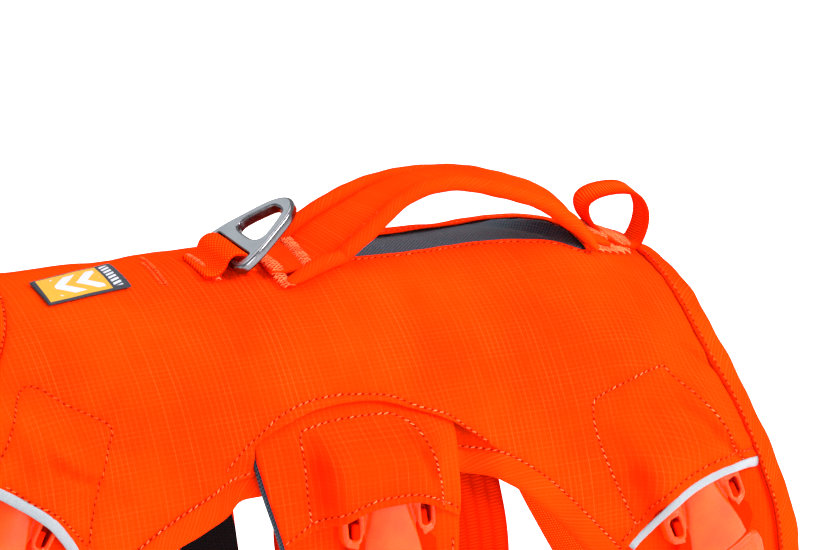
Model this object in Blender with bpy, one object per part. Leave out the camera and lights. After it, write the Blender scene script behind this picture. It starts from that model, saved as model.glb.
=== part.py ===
"""Dog harness with a wrap-over back panel, worn form, metres, +Z up, +X towards the neck, -Y the dog's right side.
Cloth is drawn in pattern coordinates (x along the spine, s round the body from the spine) and carried onto a body form.
The origin is on the inner face of the spine lining, over the girth."""
import bpy, bmesh, math
import numpy as np
from mathutils.geometry import delaunay_2d_cdt

for ob in list(bpy.data.objects):
    bpy.data.objects.remove(ob, do_unlink=True)

MM = 0.001
# ---- driving sizes, millimetres ----
WEB_W, WEB_T = 25.0, 1.6            # webbing width and thickness
SHELL_T, BASE_T, TAB_T = 1.2, 1.0, 1.0
GAP = 0.6                           # between cloth layers lying on each other
SEAM = 0.5                          # between pieces that meet edge to edge
BIND_W, BIND_T = 10.0, 4.0          # rolled edge binding
GRID_X, GRID_S = 17.0, 12.5         # facet size along the spine and round the body
POCKET_H = 9.9                      # how far a buckle pocket stands off the panel
BUCKLE_H = 8.3                      # buckle thickness
PIPE_W, PIPE_T = 4.6, 1.4
HANDLE_W, HANDLE_T, ROLL_D = 19.0, 2.0, 6.4
RING_T, RING_TILT = 5.0, 28.0       # leash ring plate thickness, tilt in degrees
FLAT_DEPTH = 1.5                    # cloth pressed flat under each rigid buckle

# body form: x, spine z, half width, height from widest line to spine, depth below the widest line
FORM = (
    (-300,  12.2,  74,  88,  98),
    (-260,  14.2,  80,  96, 110),
    (-200,  18.2,  86, 102, 118),
    (-160,  16.2,  89, 105, 124),
    ( -90,  11.2,  94, 110, 140),
    (   0,   3.3,  98, 114, 156),
    (  40,  -0.8,  99, 115, 161),
    (  80,  -4.8, 100, 114, 164),
    ( 120, -22.8,  98, 104, 158),
    ( 160, -43.8,  92,  94, 146),
    ( 200, -67.8,  84,  82, 130),
)
# centre lines of the bound edges on the right side: x, s
TAIL_EDGE = ((-182, 0), (-184, 12), (-188.5, 26), (-197, 41), (-210.5, 57), (-225.5, 77), (-238.5, 98), (-250.5, 120), (-256.5, 142), (-250, 158.5), (-232, 165.5))
SIDE_EDGE = ((-229.5, 166), (-205, 162), (-182, 151), (-160, 138.5), (-139, 126.5), (-117, 117), (-106, 113), (-90, 111.5), (-54, 111), (-18, 112),
             (2, 116.5), (12, 121.5), (23, 130), (34, 141.5), (47, 157), (60, 173), (76, 188), (94, 198), (107, 201.5))
NECK_EDGE = ((128.5, 0), (127, 30), (126.3, 60), (131, 87), (138.5, 113), (144.5, 131), (147, 147), (148, 163), (146, 179), (138, 192), (125, 200), (109.5, 202))
# folded edge of the shell where it arches over the girth tab: x, s
ARCH_FOLD = ((-106, 100.5), (-96, 94), (-84, 89), (-71, 85), (-58, 83.5), (-42, 84), (-28, 88.5), (-16, 93.5), (-6, 100))
# outline of the girth tab: x, s
TAB = ((-98, 72), (-98.5, 100), (-97, 120), (-93.5, 140), (-89, 165), (-81, 188), (-67, 203), (-46, 208), (-27, 203), (-18, 188),
       (-15, 165), (-13, 140), (-11, 115), (-10, 95), (-12, 72))
TAB_FLAP_HEM = ((-92.5, 140.5), (-88, 138.6), (-79, 134.6), (-68, 129.8), (-57, 126), (-46, 125), (-37, 125), (-30, 127.2), (-24, 131), (-19, 134.6), (-13.4, 137.6))
# slot cut in the shell along the spine: x, s
SLOT = ((-33, 6), (-20, 9), (-5, 9.5), (13, 8.5), (41, 6.5), (60, 10), (73, 14), (86, 19), (86, -12), (79, -18), (68, -22), (50, -25), (31, -20), (11, -16), (-6, -14), (-24, -8))
# buckle frames: name, hem x, hem s, a second point x, s along the strap, pocket half width on the v- side, on the v+ side, pocket depth
BUCKLES = (
    ("front", 95.0, 132.0, 95.0 + 40.7, 132.0 + 91.4, 31.0, 34.0, 46.0),
    ("girth", -46.5, 125.0, -46.5, 225.0, 33.0, 28.5, 33.0),
    ("rear", -200.0, 98.0, -200.0 - 59.0, 98.0 + 80.7, 31.0, 32.0, 43.0),
)
# hem of the shell over the front and rear buckles, in buckle coordinates: u beyond the hem point, v across
FRONT_HEM = ((8.4, 35.4), (5.4, 31.2), (-0.9, 23.4), (-5.8, 14.6), (-7.4, 7.3), (-8.3, -0.1), (-8.3, -7.9), (-6.8, -15.8), (-3.1, -22.4), (1.3, -28.8), (5.1, -36.3), (7.2, -41.0))
REAR_HEM = ((15.6, -44.8), (12.8, -40.0), (7.2, -30.0), (2.6, -20.0), (0.2, -8.0), (0.0, 6.0), (1.6, 18.0), (5.5, 30.5))
# handle centre line: x, y, z above the origin, roll in degrees (0 z means lying on the shell)
HANDLE = ((-66, -6, 0, 0), (-57, -6, 0, 0), (-47, -6, 12.6, 7), (-38, -5, 15.6, 13), (-29, -4, 18.8, 16), (-18, -3, 22.6, 12), (-6, -1, 26.6, 5), (6, 0, 29.6, 0),
          (18, 0, 30.6, 0), (30, 0, 29.2, 0), (42, 0, 25.8, 0), (54, 0, 21.2, 0), (66, 0, 15.8, 0), (77, 0, 9.4, 0), (84, 0, 3.2, 0), (88.5, 0, -2.2, 0), (92, 0, 0, 0), (97, 0, 0, 0))
FRONT_LOOP = ((114, 0), (107.5, 0), (103.4, 7.6), (100.6, 13.0), (98.6, 18.6), (99.4, 24.2), (103.6, 27.8), (110.5, 29.2), (118.5, 27.4), (124.6, 21.4), (126.0, 13.0), (124.4, 5.0), (120.5, 2.2), (113, 2.4))
RING_Y = -4.0
RING_BAR = (-79.0, 15.6)            # centre of the leash ring's base bar: x, z
LABEL = (-162.0, -124.5, -9.5, 17.5)
# straps below the buckles, right side: x, s, height of the webbing's middle above the form
FRONT_STRAP = ((122.0, 194.4, 3.0), (125.4, 202, 2.8), (130.5, 213, 2.2), (140, 231, 2.0), (150.5, 254, 2.2), (156.5, 280, 2.2), (156, 303, 1.6), (150, 322, 1.3))
GIRTH_STRAP = ((-46.5, 204, 1.5), (-46.5, 222, 1.3), (-46.5, 240, 1.3), (-46.5, 262, 1.3))
REAR_STRAP = ((-245.6, 160.4, 3.8), (-251, 171, 3.6), (-256, 184, 2.4), (-259, 198, 1.8), (-261, 220, 1.8), (-261, 245, 1.8), (-261, 268, 1.8))
LOAD_STRAP = ((-1.5, 84, -13.6), (-1.5, 105, -13.6), (-1.5, 126, -12.8), (-1.5, 150, -9.8), (-1.5, 180, -9.2), (-1.5, 205, -7.6), (-2, 222, -2.4), (-3, 236, 1.3), (-3, 262, 1.3))
CHEST_HALF, CHEST_X0, CHEST_X1 = 36.0, -80.0, 168.0

COLOURS = {
    "shell_cloth": (0.90, 0.13, 0.01), "webbing": (0.85, 0.12, 0.01), "lining_grey": (0.09, 0.10, 0.12),
    "lining_black": (0.02, 0.02, 0.02), "piping": (0.72, 0.75, 0.78), "buckle_plastic": (0.90, 0.20, 0.05),
    "ring_metal": (0.42, 0.45, 0.48), "label_cloth": (0.80, 0.50, 0.10),
}
ROUGH = {"buckle_plastic": (0.0, 0.35), "ring_metal": (1.0, 0.35), "piping": (0.0, 0.4)}
MATS = {}
for mname, col in COLOURS.items():
    m = bpy.data.materials.new(mname)
    m.use_nodes = True
    b = m.node_tree.nodes["Principled BSDF"]
    b.inputs["Base Color"].default_value = (*col, 1)
    b.inputs["Metallic"].default_value = ROUGH.get(mname, (0, 0.8))[0]
    b.inputs["Roughness"].default_value = ROUGH.get(mname, (0, 0.8))[1]
    MATS[mname] = m

# ---- the body form ----
TF = np.array(FORM, float)


def column(x, col):
    xs, p = TF[:, 0], TF[:, col]
    x = np.clip(np.asarray(x, float), xs[0], xs[-1])
    i = np.clip(np.searchsorted(xs, x) - 1, 0, len(xs) - 2)
    m = np.gradient(p, xs)
    h = xs[i + 1] - xs[i]
    t = (x - xs[i]) / h
    return (2*t**3 - 3*t**2 + 1)*p[i] + (t**3 - 2*t**2 + t)*h*m[i] + (-2*t**3 + 3*t**2)*p[i + 1] + (t**3 - t**2)*h*m[i + 1]


def ring_point(x, phi):
    z0, w, ht, hb = (column(x, k) for k in (1, 2, 3, 4))
    z = np.where(np.abs(phi) <= math.pi/2, z0 - ht*(1 - np.cos(phi)), z0 - ht + hb*np.cos(phi))
    return np.stack([x + 0*phi, -w*np.sin(phi), z], -1)


XG = np.arange(-300.0, 200.1, 5.0)
PG = np.linspace(0, math.pi, 181)
ARC = []
for gx in XG:
    q = ring_point(np.full(len(PG), gx), PG)
    ARC.append(np.concatenate([[0], np.cumsum(np.linalg.norm(np.diff(q, axis=0), axis=1))]))
ARC = np.array(ARC)


def half_girth(x):
    return float(np.interp(x, XG, ARC[:, -1]))


def phi_at(x, s):
    x, s = np.broadcast_arrays(np.asarray(x, float), np.asarray(s, float))
    out = np.empty(x.shape)
    for k in np.ndindex(x.shape):
        i = int(min(max((x[k] - XG[0])//5, 0), len(XG) - 2))
        t = (x[k] - XG[i])/5
        out[k] = math.copysign(1, s[k])*np.interp(abs(s[k]), (1 - t)*ARC[i] + t*ARC[i + 1], PG)
    return out


def bare(x, s):
    """point and outward normal of the form at pattern point (x, s)"""
    x, s = np.atleast_1d(np.asarray(x, float)), np.atleast_1d(np.asarray(s, float))
    x, s = np.broadcast_arrays(x, s)
    phi = phi_at(x, s)
    p = ring_point(x, phi)
    dx = ring_point(x + 0.5, phi) - ring_point(x - 0.5, phi)
    df = ring_point(x, phi + 0.004) - ring_point(x, phi - 0.004)
    n = np.cross(df, dx)
    return p, n/np.linalg.norm(n, axis=-1, keepdims=True)


def ramp(t):
    t = np.clip(t, 0, 1)
    return t*t*(3 - 2*t)


class Frame:
    """a rigid buckle's flat: origin at the hem, eu down the strap, ev across, n outward"""
    def __init__(self, name, hx, hs, ax, as_, vm, vp, depth):
        self.name, self.vm, self.vp, self.depth = name, vm, vp, depth
        d = np.array([ax - hx, as_ - hs], float)
        d /= np.linalg.norm(d)
        self.d2 = d
        c = np.array([hx, hs]) + d*23.0
        p, n = bare(*c)
        ph, _ = bare(hx, hs)
        self.n = n[0]
        eu = p[0] - ph[0]
        eu -= self.n*np.dot(eu, self.n)
        self.eu = eu/np.linalg.norm(eu)
        self.ev = np.cross(self.n, self.eu)
        if self.ev[0] < 0:
            self.ev = -self.ev
        if name == "rear":
            self.ev = -self.ev
        self.o = p[0] - self.eu*23.0 - self.n*FLAT_DEPTH

    def uvh(self, p):
        q = p - self.o
        return q@self.eu, q@self.ev, q@self.n

    def world(self, u, v, h):
        return self.o + u*self.eu + v*self.ev + h*self.n


FRAMES = [Frame(*row) for row in BUCKLES]
FR = {f.name: f for f in FRAMES}


def surf(x, s, off=0.0):
    """point of the cloth surface at pattern point (x, s), off millimetres outside the shell's face"""
    x, s = np.atleast_1d(np.asarray(x, float)), np.atleast_1d(np.asarray(s, float))
    x, s = np.broadcast_arrays(x, s)
    p, n = bare(x, np.abs(s))
    for f in FRAMES:
        u, v, h = f.uvh(p)
        near = (h > -45)
        w = ramp(1 - (np.abs(u - 23) - 38)/26)*ramp(1 - (np.abs(v) - 22)/22)*near
        p = p + f.n*(w*(-h))[..., None]
        n = n*(1 - w)[..., None] + f.n*w[..., None]
    n = n/np.linalg.norm(n, axis=-1, keepdims=True)
    p = p + n*np.broadcast_to(np.asarray(off, float), x.shape)[..., None]
    flip = np.where(s < 0, -1.0, 1.0)
    p = p.copy()
    p[..., 1] *= flip
    return p


def pocket(x, s, names):
    """stand-off of the buckle pockets, 0 to POCKET_H"""
    p, _ = bare(x, np.abs(np.atleast_1d(s)))
    out = np.zeros(p.shape[:-1])
    for nm in names:
        f = FR[nm]
        u, v, h = f.uvh(p)
        half = np.where(v < 0, f.vm, f.vp)
        if nm == "front":
            half = half + 4.0
        flat = 13.0 if nm == "front" else np.minimum(19.5, half - 8.5)
        g = ramp(1 - (np.abs(v) - flat)/(half - flat))*ramp((u + f.depth)/(f.depth - 15.0))*(h > -45)
        out = np.maximum(out, POCKET_H*g)
    return out


def zero(x, s):
    return 0.0


def shell_out(x, s):
    return pocket(x, s, ("front", "rear"))


def shell_in(x, s):
    return shell_out(x, s) - SHELL_T


TAB_OUT = -SHELL_T - GAP - 0.8      # outer face of the tab flap under the arch


def flap_out(x, s):
    return TAB_OUT + pocket(x, s, ("girth",))*(POCKET_H + 0.9)/POCKET_H


def flap_in(x, s):
    return flap_out(x, s) - TAB_T


def tab_out(x, s):
    return TAB_OUT - TAB_T - GAP


def tab_in(x, s):
    return tab_out(x, s) - TAB_T


def tablin_out(x, s):
    return tab_in(x, s) - GAP


def tablin_in(x, s):
    return tablin_out(x, s) - 1.8


def sink(x):
    """how far the base layer passes under the tab"""
    x = np.asarray(x, float)
    return ramp((x + 140)/24)*ramp((24 - x)/20)


UNDER_TAB = 7.4 + GAP               # extra depth of the base under the girth tab


def base_out(x, s):
    return -SHELL_T - GAP - sink(x)*UNDER_TAB


def base_in(x, s):
    return base_out(x, s) - BASE_T


# ---- mesh helpers ----
def add(name, verts, faces, mat):
    me = bpy.data.meshes.new(name)
    me.from_pydata([tuple(np.asarray(v)*MM) for v in verts], [], faces)
    bm = bmesh.new()
    bm.from_mesh(me)
    bmesh.ops.triangulate(bm, faces=[f for f in bm.faces if len(f.verts) > 4])
    bmesh.ops.recalc_face_normals(bm, faces=bm.faces)
    bm.to_mesh(me)
    bm.free()
    me.materials.append(MATS[mat])
    ob = bpy.data.objects.new(name, me)
    bpy.context.scene.collection.objects.link(ob)
    return ob


def mirrored(ob, name):
    verts = [(v.co.x/MM, -v.co.y/MM, v.co.z/MM) for v in ob.data.vertices]
    return add(name, verts, [tuple(p.vertices) for p in ob.data.polygons], ob.data.materials[0].name)


def smooth_line(pts, step):
    """Catmull-Rom through the table's points, at most step apart"""
    p = np.array(pts, float)
    ext = np.vstack([2*p[0] - p[1], p, 2*p[-1] - p[-2]])
    out = []
    for i in range(1, len(ext) - 2):
        a, b, c, d = ext[i - 1], ext[i], ext[i + 1], ext[i + 2]
        n = max(1, int(math.ceil(np.linalg.norm((c - b)[:2])/step)))
        for k in range(n):
            t = k/n
            out.append(0.5*((2*b) + (c - a)*t + (2*a - 5*b + 4*c - d)*t*t + (-a + 3*b - 3*c + d)*t**3))
    out.append(p[-1])
    return np.array(out)


def inset(line, d):
    """line moved d to its left in the (x, s) plane"""
    t = np.gradient(line, axis=0)
    t /= np.linalg.norm(t, axis=1, keepdims=True)
    return line + d*np.stack([-t[:, 1], t[:, 0]], 1)


def thin(line, step):
    keep = [line[0]]
    for q in line[1:-1]:
        if np.linalg.norm(q - keep[-1]) >= step:
            keep.append(q)
    if np.linalg.norm(line[-1] - keep[-1]) < step*0.4 and len(keep) > 1:
        keep.pop()
    keep.append(line[-1])
    return np.array(keep)


def inside(poly, pts):
    x, y = pts[:, 0], pts[:, 1]
    c = np.zeros(len(pts), bool)
    n = len(poly)
    for i in range(n):
        (x0, y0), (x1, y1) = poly[i], poly[(i + 1) % n]
        hit = ((y0 > y) != (y1 > y)) & (x < (x1 - x0)*(y - y0)/((y1 - y0) if y1 != y0 else 1e-9) + x0)
        c ^= hit
    return c


def edge_distance(poly, pts):
    d = np.full(len(pts), 1e9)
    n = len(poly)
    for i in range(n):
        a, b = np.asarray(poly[i]), np.asarray(poly[(i + 1) % n])
        ab = b - a
        t = np.clip(((pts - a)@ab)/max(ab@ab, 1e-9), 0, 1)
        d = np.minimum(d, np.linalg.norm(pts - (a + t[:, None]*ab), axis=1))
    return d


def flat_mesh(outline, holes=(), gx=GRID_X, gs=GRID_S, x0=0.0, s0=0.0, extra=()):
    loops = [np.asarray(outline, float)] + [np.asarray(h, float) for h in holes]
    allp = loops[0]
    gxs = np.arange(math.floor((allp[:, 0].min() - x0)/gx)*gx + x0, allp[:, 0].max() + gx, gx)
    gss = np.arange(math.floor((allp[:, 1].min() - s0)/gs)*gs + s0, allp[:, 1].max() + gs, gs)
    gp = np.array([(a, b) for a in gxs for b in gss])
    keep = inside(loops[0], gp) & (edge_distance(loops[0], gp) > 0.42*gs)
    for h in loops[1:]:
        keep &= ~inside(h, gp) & (edge_distance(h, gp) > 0.42*gs)
    gp = gp[keep]
    if len(extra):
        ex = np.asarray(extra, float)
        okx = inside(loops[0], ex) & (edge_distance(loops[0], ex) > 3.0)
        ex = ex[okx]
        far = np.array([np.min(np.linalg.norm(ex - q, axis=1)) > 6.0 for q in gp])
        gp = np.vstack([gp[far], ex])
    verts, edges = [], []
    for lp in loops:
        k = len(verts)
        verts += [tuple(q) for q in lp]
        edges += [(k + i, k + (i + 1) % len(lp)) for i in range(len(lp))]
    verts += [tuple(q) for q in gp]
    rv, _, rf, *_ = delaunay_2d_cdt([v for v in verts], edges, [], 0, 1e-5)
    rv = np.array([(v[0], v[1]) for v in rv])
    tri = np.array([f for f in rf if len(f) == 3])
    c = rv[tri].mean(axis=1)
    ok = inside(loops[0], c)
    for h in loops[1:]:
        ok &= ~inside(h, c)
    return rv, tri[ok]


def panel(name, outline, out_fn, in_fn, mat, holes=(), **kw):
    """two skins over one flat outline, joined round every edge"""
    rv, tri = flat_mesh(outline, holes, **kw)
    x, s = rv[:, 0], rv[:, 1]
    top, bot = surf(x, s, out_fn(x, s)), surf(x, s, in_fn(x, s))
    n = len(rv)
    faces = [tuple(t) for t in tri] + [tuple(t[::-1] + n) for t in tri]
    cnt = {}
    for t in tri:
        for i in range(3):
            a, b = int(t[i]), int(t[(i + 1) % 3])
            cnt[(a, b)] = cnt.get((a, b), 0) + 1
    for (a, b) in list(cnt):
        if (b, a) not in cnt:
            faces.append((b, a, a + n, b + n))
    return add(name, np.vstack([top, bot]), faces, mat)


def sweep(name, centres, normals, profile, mat, closed=False):
    """closed profile (across, up) carried along a line; profile may be one list or one per station"""
    c = np.asarray(centres, float)
    nn = np.asarray(normals, float)
    t = np.gradient(c, axis=0)
    if closed:
        t = np.roll(c, -1, axis=0) - np.roll(c, 1, axis=0)
    t /= np.linalg.norm(t, axis=1, keepdims=True)
    b = np.cross(nn, t)
    b /= np.linalg.norm(b, axis=1, keepdims=True)
    up = np.cross(t, b)
    verts, faces = [], []
    k = None
    for i in range(len(c)):
        pr = profile[i] if isinstance(profile[0][0], (tuple, list, np.ndarray)) else profile
        k = len(pr)
        for (a, h) in pr:
            verts.append(c[i] + b[i]*a + up[i]*h)
    last = len(c) if closed else len(c) - 1
    for i in range(last):
        j = (i + 1) % len(c)
        for m in range(k):
            q = (m + 1) % k
            faces.append((i*k + m, i*k + q, j*k + q, j*k + m))
    if not closed:
        faces.append(tuple(range(k))[::-1])
        faces.append(tuple((len(c) - 1)*k + m for m in range(k)))
    return add(name, verts, faces, mat)


def rect(w, t):
    return [(-w/2, -t/2), (w/2, -t/2), (w/2, t/2), (-w/2, t/2)]


def roll_profile(w, t):
    return [(-w/2, 0), (-w*0.34, -t/2), (w*0.34, -t/2), (w/2, 0), (w*0.34, t/2), (-w*0.34, t/2)]


def normals_on(line):
    p0, p1 = surf(line[:, 0], line[:, 1], 0.0), surf(line[:, 0], line[:, 1], 2.0)
    n = p1 - p0
    return n/np.linalg.norm(n, axis=1, keepdims=True)


def along(line, off_fn):
    return surf(line[:, 0], line[:, 1], off_fn(line[:, 0], line[:, 1]))


# ---- back panel ----
EDGE_STEP = 12.0
tail = thin(smooth_line(TAIL_EDGE, 3.0), EDGE_STEP)
side = thin(smooth_line(SIDE_EDGE, 3.0), EDGE_STEP)
neck = thin(smooth_line(NECK_EDGE, 3.0), EDGE_STEP)
IN = BIND_W/2 + SEAM + 0.1
BASE_IN = IN + 0.9
# every bound edge runs with the cloth on its right in (x, s): tail spine->tip, side tip->tip, neck tip->spine
tail_in = inset(smooth_line(TAIL_EDGE, 3.0), -IN)
side_in = inset(smooth_line(SIDE_EDGE, 3.0), -IN)
neck_in = inset(smooth_line(NECK_EDGE, 3.0), IN)


def pattern_of(f, u, v):
    """pattern point whose form point lies at (u, v) in a buckle frame"""
    q = np.array([0.0, 0.0])
    row = [r for r in BUCKLES if r[0] == f.name][0]
    q = np.array([row[1], row[2]]) + f.d2*u
    for _ in range(30):
        p, _n = bare(*q)
        uu, vv, _h = f.uvh(p[0])
        px, _ = bare(q[0] + 0.5, q[1])
        ps, _ = bare(q[0], q[1] + 0.5)
        ux, vx, _ = f.uvh(px[0])
        us, vs, _ = f.uvh(ps[0])
        jac = np.array([[(ux - uu)*2, (us - uu)*2], [(vx - vv)*2, (vs - vv)*2]])
        q = q + np.linalg.solve(jac, np.array([u - uu, v - vv]))
    return q


front_hem = np.array([pattern_of(FR["front"], u, v) for u, v in smooth_line(FRONT_HEM, 6.0)])
rear_hem = np.array([pattern_of(FR["rear"], u, v) for u, v in smooth_line(REAR_HEM, 6.0)])


def nearest(line, q):
    return int(np.argmin(np.linalg.norm(line - q, axis=1)))


FINE = []


def closed_outline(parts, step):
    """join runs of points, drop near repeats, thin to step"""
    out = []
    for run in parts:
        run = np.asarray(run, float)
        run = thin(run, step*0.6 if any(run is r for r in FINE) else step)
        for q in run:
            if not out or np.linalg.norm(q - out[-1]) > 2.0:
                out.append(q)
    if np.linalg.norm(out[0] - out[-1]) < 2.0:
        out.pop()
    return np.array(out)


i_tail = nearest(tail_in, rear_hem[-1])
i_side_r = nearest(side_in, rear_hem[0])
i_arch_r = nearest(side_in, np.array(ARCH_FOLD[0]))
i_arch_f = nearest(side_in, np.array(ARCH_FOLD[-1]))
i_side_f = nearest(side_in, front_hem[-1])
i_neck = nearest(neck_in, front_hem[0])
fold = smooth_line(ARCH_FOLD, 4.0)
def pocket_points(name):
    f = FR[name]
    pts = []
    for u in (-f.depth, -f.depth*0.72, -(f.depth + 15)*0.45, -15.0, -6.0):
        for v in (-f.vm, -f.vm + 4.5, -min(19.5, f.vm - 8.5), 0.0, min(19.5, f.vp - 8.5), f.vp - 4.5, f.vp):
            pts.append(pattern_of(f, u, v))
    return np.array(pts)


half_shell = closed_outline([tail_in[:i_tail + 1], rear_hem[::-1][1:-1], side_in[i_side_r:i_arch_r + 1], fold[1:-1], side_in[i_arch_f:i_side_f + 1],
                             front_hem[::-1][1:-1], neck_in[:i_neck + 1][::-1]], EDGE_STEP)
other = half_shell[::-1][1:-1].copy()
other[:, 1] *= -1
shell_outline = np.vstack([half_shell, other])
pp = np.vstack([pocket_points("front"), pocket_points("rear")])
panel("shell", shell_outline, shell_out, shell_in, "shell_cloth", holes=[thin(smooth_line(SLOT + SLOT[:1], 4.0), 9.0)[:-1]], extra=np.vstack([pp, pp*(1, -1)]))

LIN_OUT, LIN_T = -SHELL_T - GAP, 1.5
lining_outline = [(-52, -34), (-30, -38), (0, -40), (60, -42), (98, -40), (106, -20), (106, 20), (98, 36), (60, 34), (0, 30), (-30, 28), (-52, 24)]
panel("slot_lining", closed_outline([smooth_line(lining_outline + lining_outline[:1], 12.0)], 11.0), lambda x, s: LIN_OUT + 0*x, lambda x, s: LIN_OUT - LIN_T + 0*x, "lining_grey")

# ---- base layer under the pockets: one each side, lobe to lobe ----
top_edge = np.array([(118, 60), (100, 56), (60, 58), (20, 66), (-20, 70), (-60, 70), (-100, 70), (-140, 60), (-170, 50), (-190, 47)], float)
j_tail = nearest(tail_in, top_edge[-1])
j_neck = nearest(neck_in, top_edge[0])
tail_b, side_b, neck_b = inset(smooth_line(TAIL_EDGE, 3.0), -BASE_IN), inset(smooth_line(SIDE_EDGE, 3.0), -BASE_IN), inset(smooth_line(NECK_EDGE, 3.0), BASE_IN)
base_outline = closed_outline([tail_b[j_tail:-3], side_b[3:-3], neck_b[j_neck:-3][::-1], smooth_line(top_edge, 12.0)[1:-1]], EDGE_STEP)
base_r = panel("base_r", base_outline, base_out, base_in, "shell_cloth")
mirrored(base_r, "base_l")


# ---- bindings ----
def bind_mid(x, s):
    return -(SHELL_T + GAP + BASE_T)/2 - sink(x)*(UNDER_TAB + 1.6)


def bind_profile(line):
    t = BIND_T - 1.4*sink(line[:, 0])
    return [roll_profile(BIND_W, k) for k in t]


sb = sweep("side_binding_r", along(side, bind_mid), normals_on(side), bind_profile(side), "shell_cloth")
mirrored(sb, "side_binding_l")


def both_sides(line):
    other = line[::-1][:-1].copy()
    other[:, 1] *= -1
    return np.vstack([other, line])


for nm, ln in (("tail_binding", both_sides(tail)), ("neck_binding", both_sides(neck))):
    sweep(nm, along(ln, bind_mid), normals_on(ln), roll_profile(BIND_W, BIND_T), "shell_cloth")

# ---- piping along the two shell hems ----
for nm, f, table in (("front", FR["front"], FRONT_HEM), ("rear", FR["rear"], REAR_HEM)):
    ln = smooth_line([(u + PIPE_W/2 + SEAM + 0.8, v) for u, v in table], 4.0)
    ln = ln[(ln[:, 1] > ln[:, 1].min() + 4.5) & (ln[:, 1] < ln[:, 1].max() - 2.0)]
    ln = thin(ln, 8.0)
    pts = np.array([pattern_of(f, u, v) for u, v in ln])
    hem = np.array([pattern_of(f, u - PIPE_W/2 - SEAM - 0.8, v) for u, v in ln])
    off = shell_out(hem[:, 0], hem[:, 1]) - SHELL_T/2
    c = surf(pts[:, 0], pts[:, 1], off)
    pp = sweep("piping_%s_r" % nm, c, normals_on(pts), roll_profile(PIPE_W, PIPE_T), "piping")
    mirrored(pp, "piping_%s_l" % nm)

# ---- girth tab: outer flap, tab, grey lining ----
tab_line = smooth_line(TAB + TAB[:1], 6.0)[:-1]
tab_outline = closed_outline([tab_line], EDGE_STEP)
tb = panel("tab_r", tab_outline, tab_out, tab_in, "shell_cloth")
mirrored(tb, "tab_l")
lin_line = tab_line.copy()
left = tab_line[:, 0] < -60
lin_line[left, 0] -= 1.8
tl = panel("tab_lining_r", closed_outline([lin_line], EDGE_STEP), tablin_out, tablin_in, "lining_grey")
mirrored(tl, "tab_lining_l")
hem = smooth_line(TAB_FLAP_HEM, 6.0)
up_left = tab_line[(tab_line[:, 0] < -60) & (tab_line[:, 1] < 139)]
up_right = tab_line[(tab_line[:, 0] > -40) & (tab_line[:, 1] < 136)]
flap_outline = closed_outline([[(-98, 76)], up_left[up_left[:, 1] > 80], hem, up_right[up_right[:, 1] > 80], [(-12, 76)]], EDGE_STEP)
tf = panel("tab_flap_r", flap_outline, flap_out, flap_in, "shell_cloth", extra=pocket_points("girth"))
mirrored(tf, "tab_flap_l")

# ---- buckles ----
H0 = {"front": -SHELL_T - GAP + 0.5, "girth": TAB_OUT - TAB_T - GAP + 0.5, "rear": -SHELL_T - GAP + 0.5}
FEMALE_PLAN = ((-13, 15.4), (-11, 16.8), (-2, 20), (4, 21), (13.5, 21), (16.5, 19.5), (18, 15.2), (32, 15.2))
CAV_V, CAV_LO, CAV_HI = 17.6, 2.1, 6.2


def prism(poly, h0, h1, top_in=0.0):
    """closed prism in (u, v, h); top_in draws the top face in"""
    poly = np.array(poly, float)
    c = poly.mean(axis=0)
    rings = [(h0, 1.0)] + ([(h1 - top_in, 1.0)] if top_in else []) + [(h1, 0.0)]
    verts = []
    d = poly - c
    ln = np.linalg.norm(d, axis=1, keepdims=True)
    for h, full in rings:
        q = poly if full or not top_in else c + d*(1 - top_in*1.2/ln)
        verts += [(a, b, h) for a, b in q]
    n = len(poly)
    faces = [tuple(range(n))[::-1], tuple(range(len(verts) - n, len(verts)))]
    for r in range(len(rings) - 1):
        for i in range(n):
            j = (i + 1) % n
            faces.append((r*n + i, r*n + j, (r + 1)*n + j, (r + 1)*n + i))
    return verts, faces


def solid(name, verts, faces):
    me = bpy.data.meshes.new(name)
    me.from_pydata([tuple(np.asarray(v)*MM) for v in verts], [], faces)
    bm = bmesh.new()
    bm.from_mesh(me)
    bmesh.ops.recalc_face_normals(bm, faces=bm.faces)
    bm.to_mesh(me)
    bm.free()
    ob = bpy.data.objects.new(name, me)
    bpy.context.scene.collection.objects.link(ob)
    return ob


def combine(ob, tools, op):
    for tl_ in tools:
        md = ob.modifiers.new("cut", "BOOLEAN")
        md.operation, md.solver, md.object = op, "EXACT", tl_
        dg = bpy.context.evaluated_depsgraph_get()
        me = bpy.data.meshes.new_from_object(ob.evaluated_get(dg))
        ob.modifiers.clear()
        ob.data = me
        bpy.data.objects.remove(tl_, do_unlink=True)
    return ob


def box(name, u0, u1, v0, v1, h0, h1):
    return solid(name, *prism([(u0, v0), (u1, v0), (u1, v1), (u0, v1)], h0, h1))


def mirror_plan(rows):
    return [(u, v) for u, v in rows] + [(u, -v) for u, v in rows[::-1]]


def female_master():
    ob = solid("female", *prism(mirror_plan(FEMALE_PLAN), 0, 7.2, 1.3))
    col = [(-3, 8.5), (6, 8.8), (16, 10.0), (24, 12.0), (31.4, 13.6)]
    ob = combine(ob, [solid("column", *prism(mirror_plan(col), 4.0, BUCKLE_H, 0.9))], "UNION")
    cuts = []
    for sg in (1, -1):
        cuts.append(box("chan", -1.5, 40, min(sg*3.2, sg*CAV_V), max(sg*3.2, sg*CAV_V), CAV_LO, CAV_HI))
        cuts.append(box("win", 3.6, 13.4, min(sg*13.6, sg*18.6), max(sg*13.6, sg*18.6), CAV_LO + 1.2, 12))
    cuts.append(box("webslot", -9.2, -4.6, -12.9, 12.9, -2, 12))
    cuts.append(box("barover", -20, -9.0, -12.9, 12.9, 5.7, 12))
    cuts.append(box("barunder", -20, -9.0, -12.9, 12.9, -2, 2.5))
    return combine(ob, cuts, "DIFFERENCE")


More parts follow.
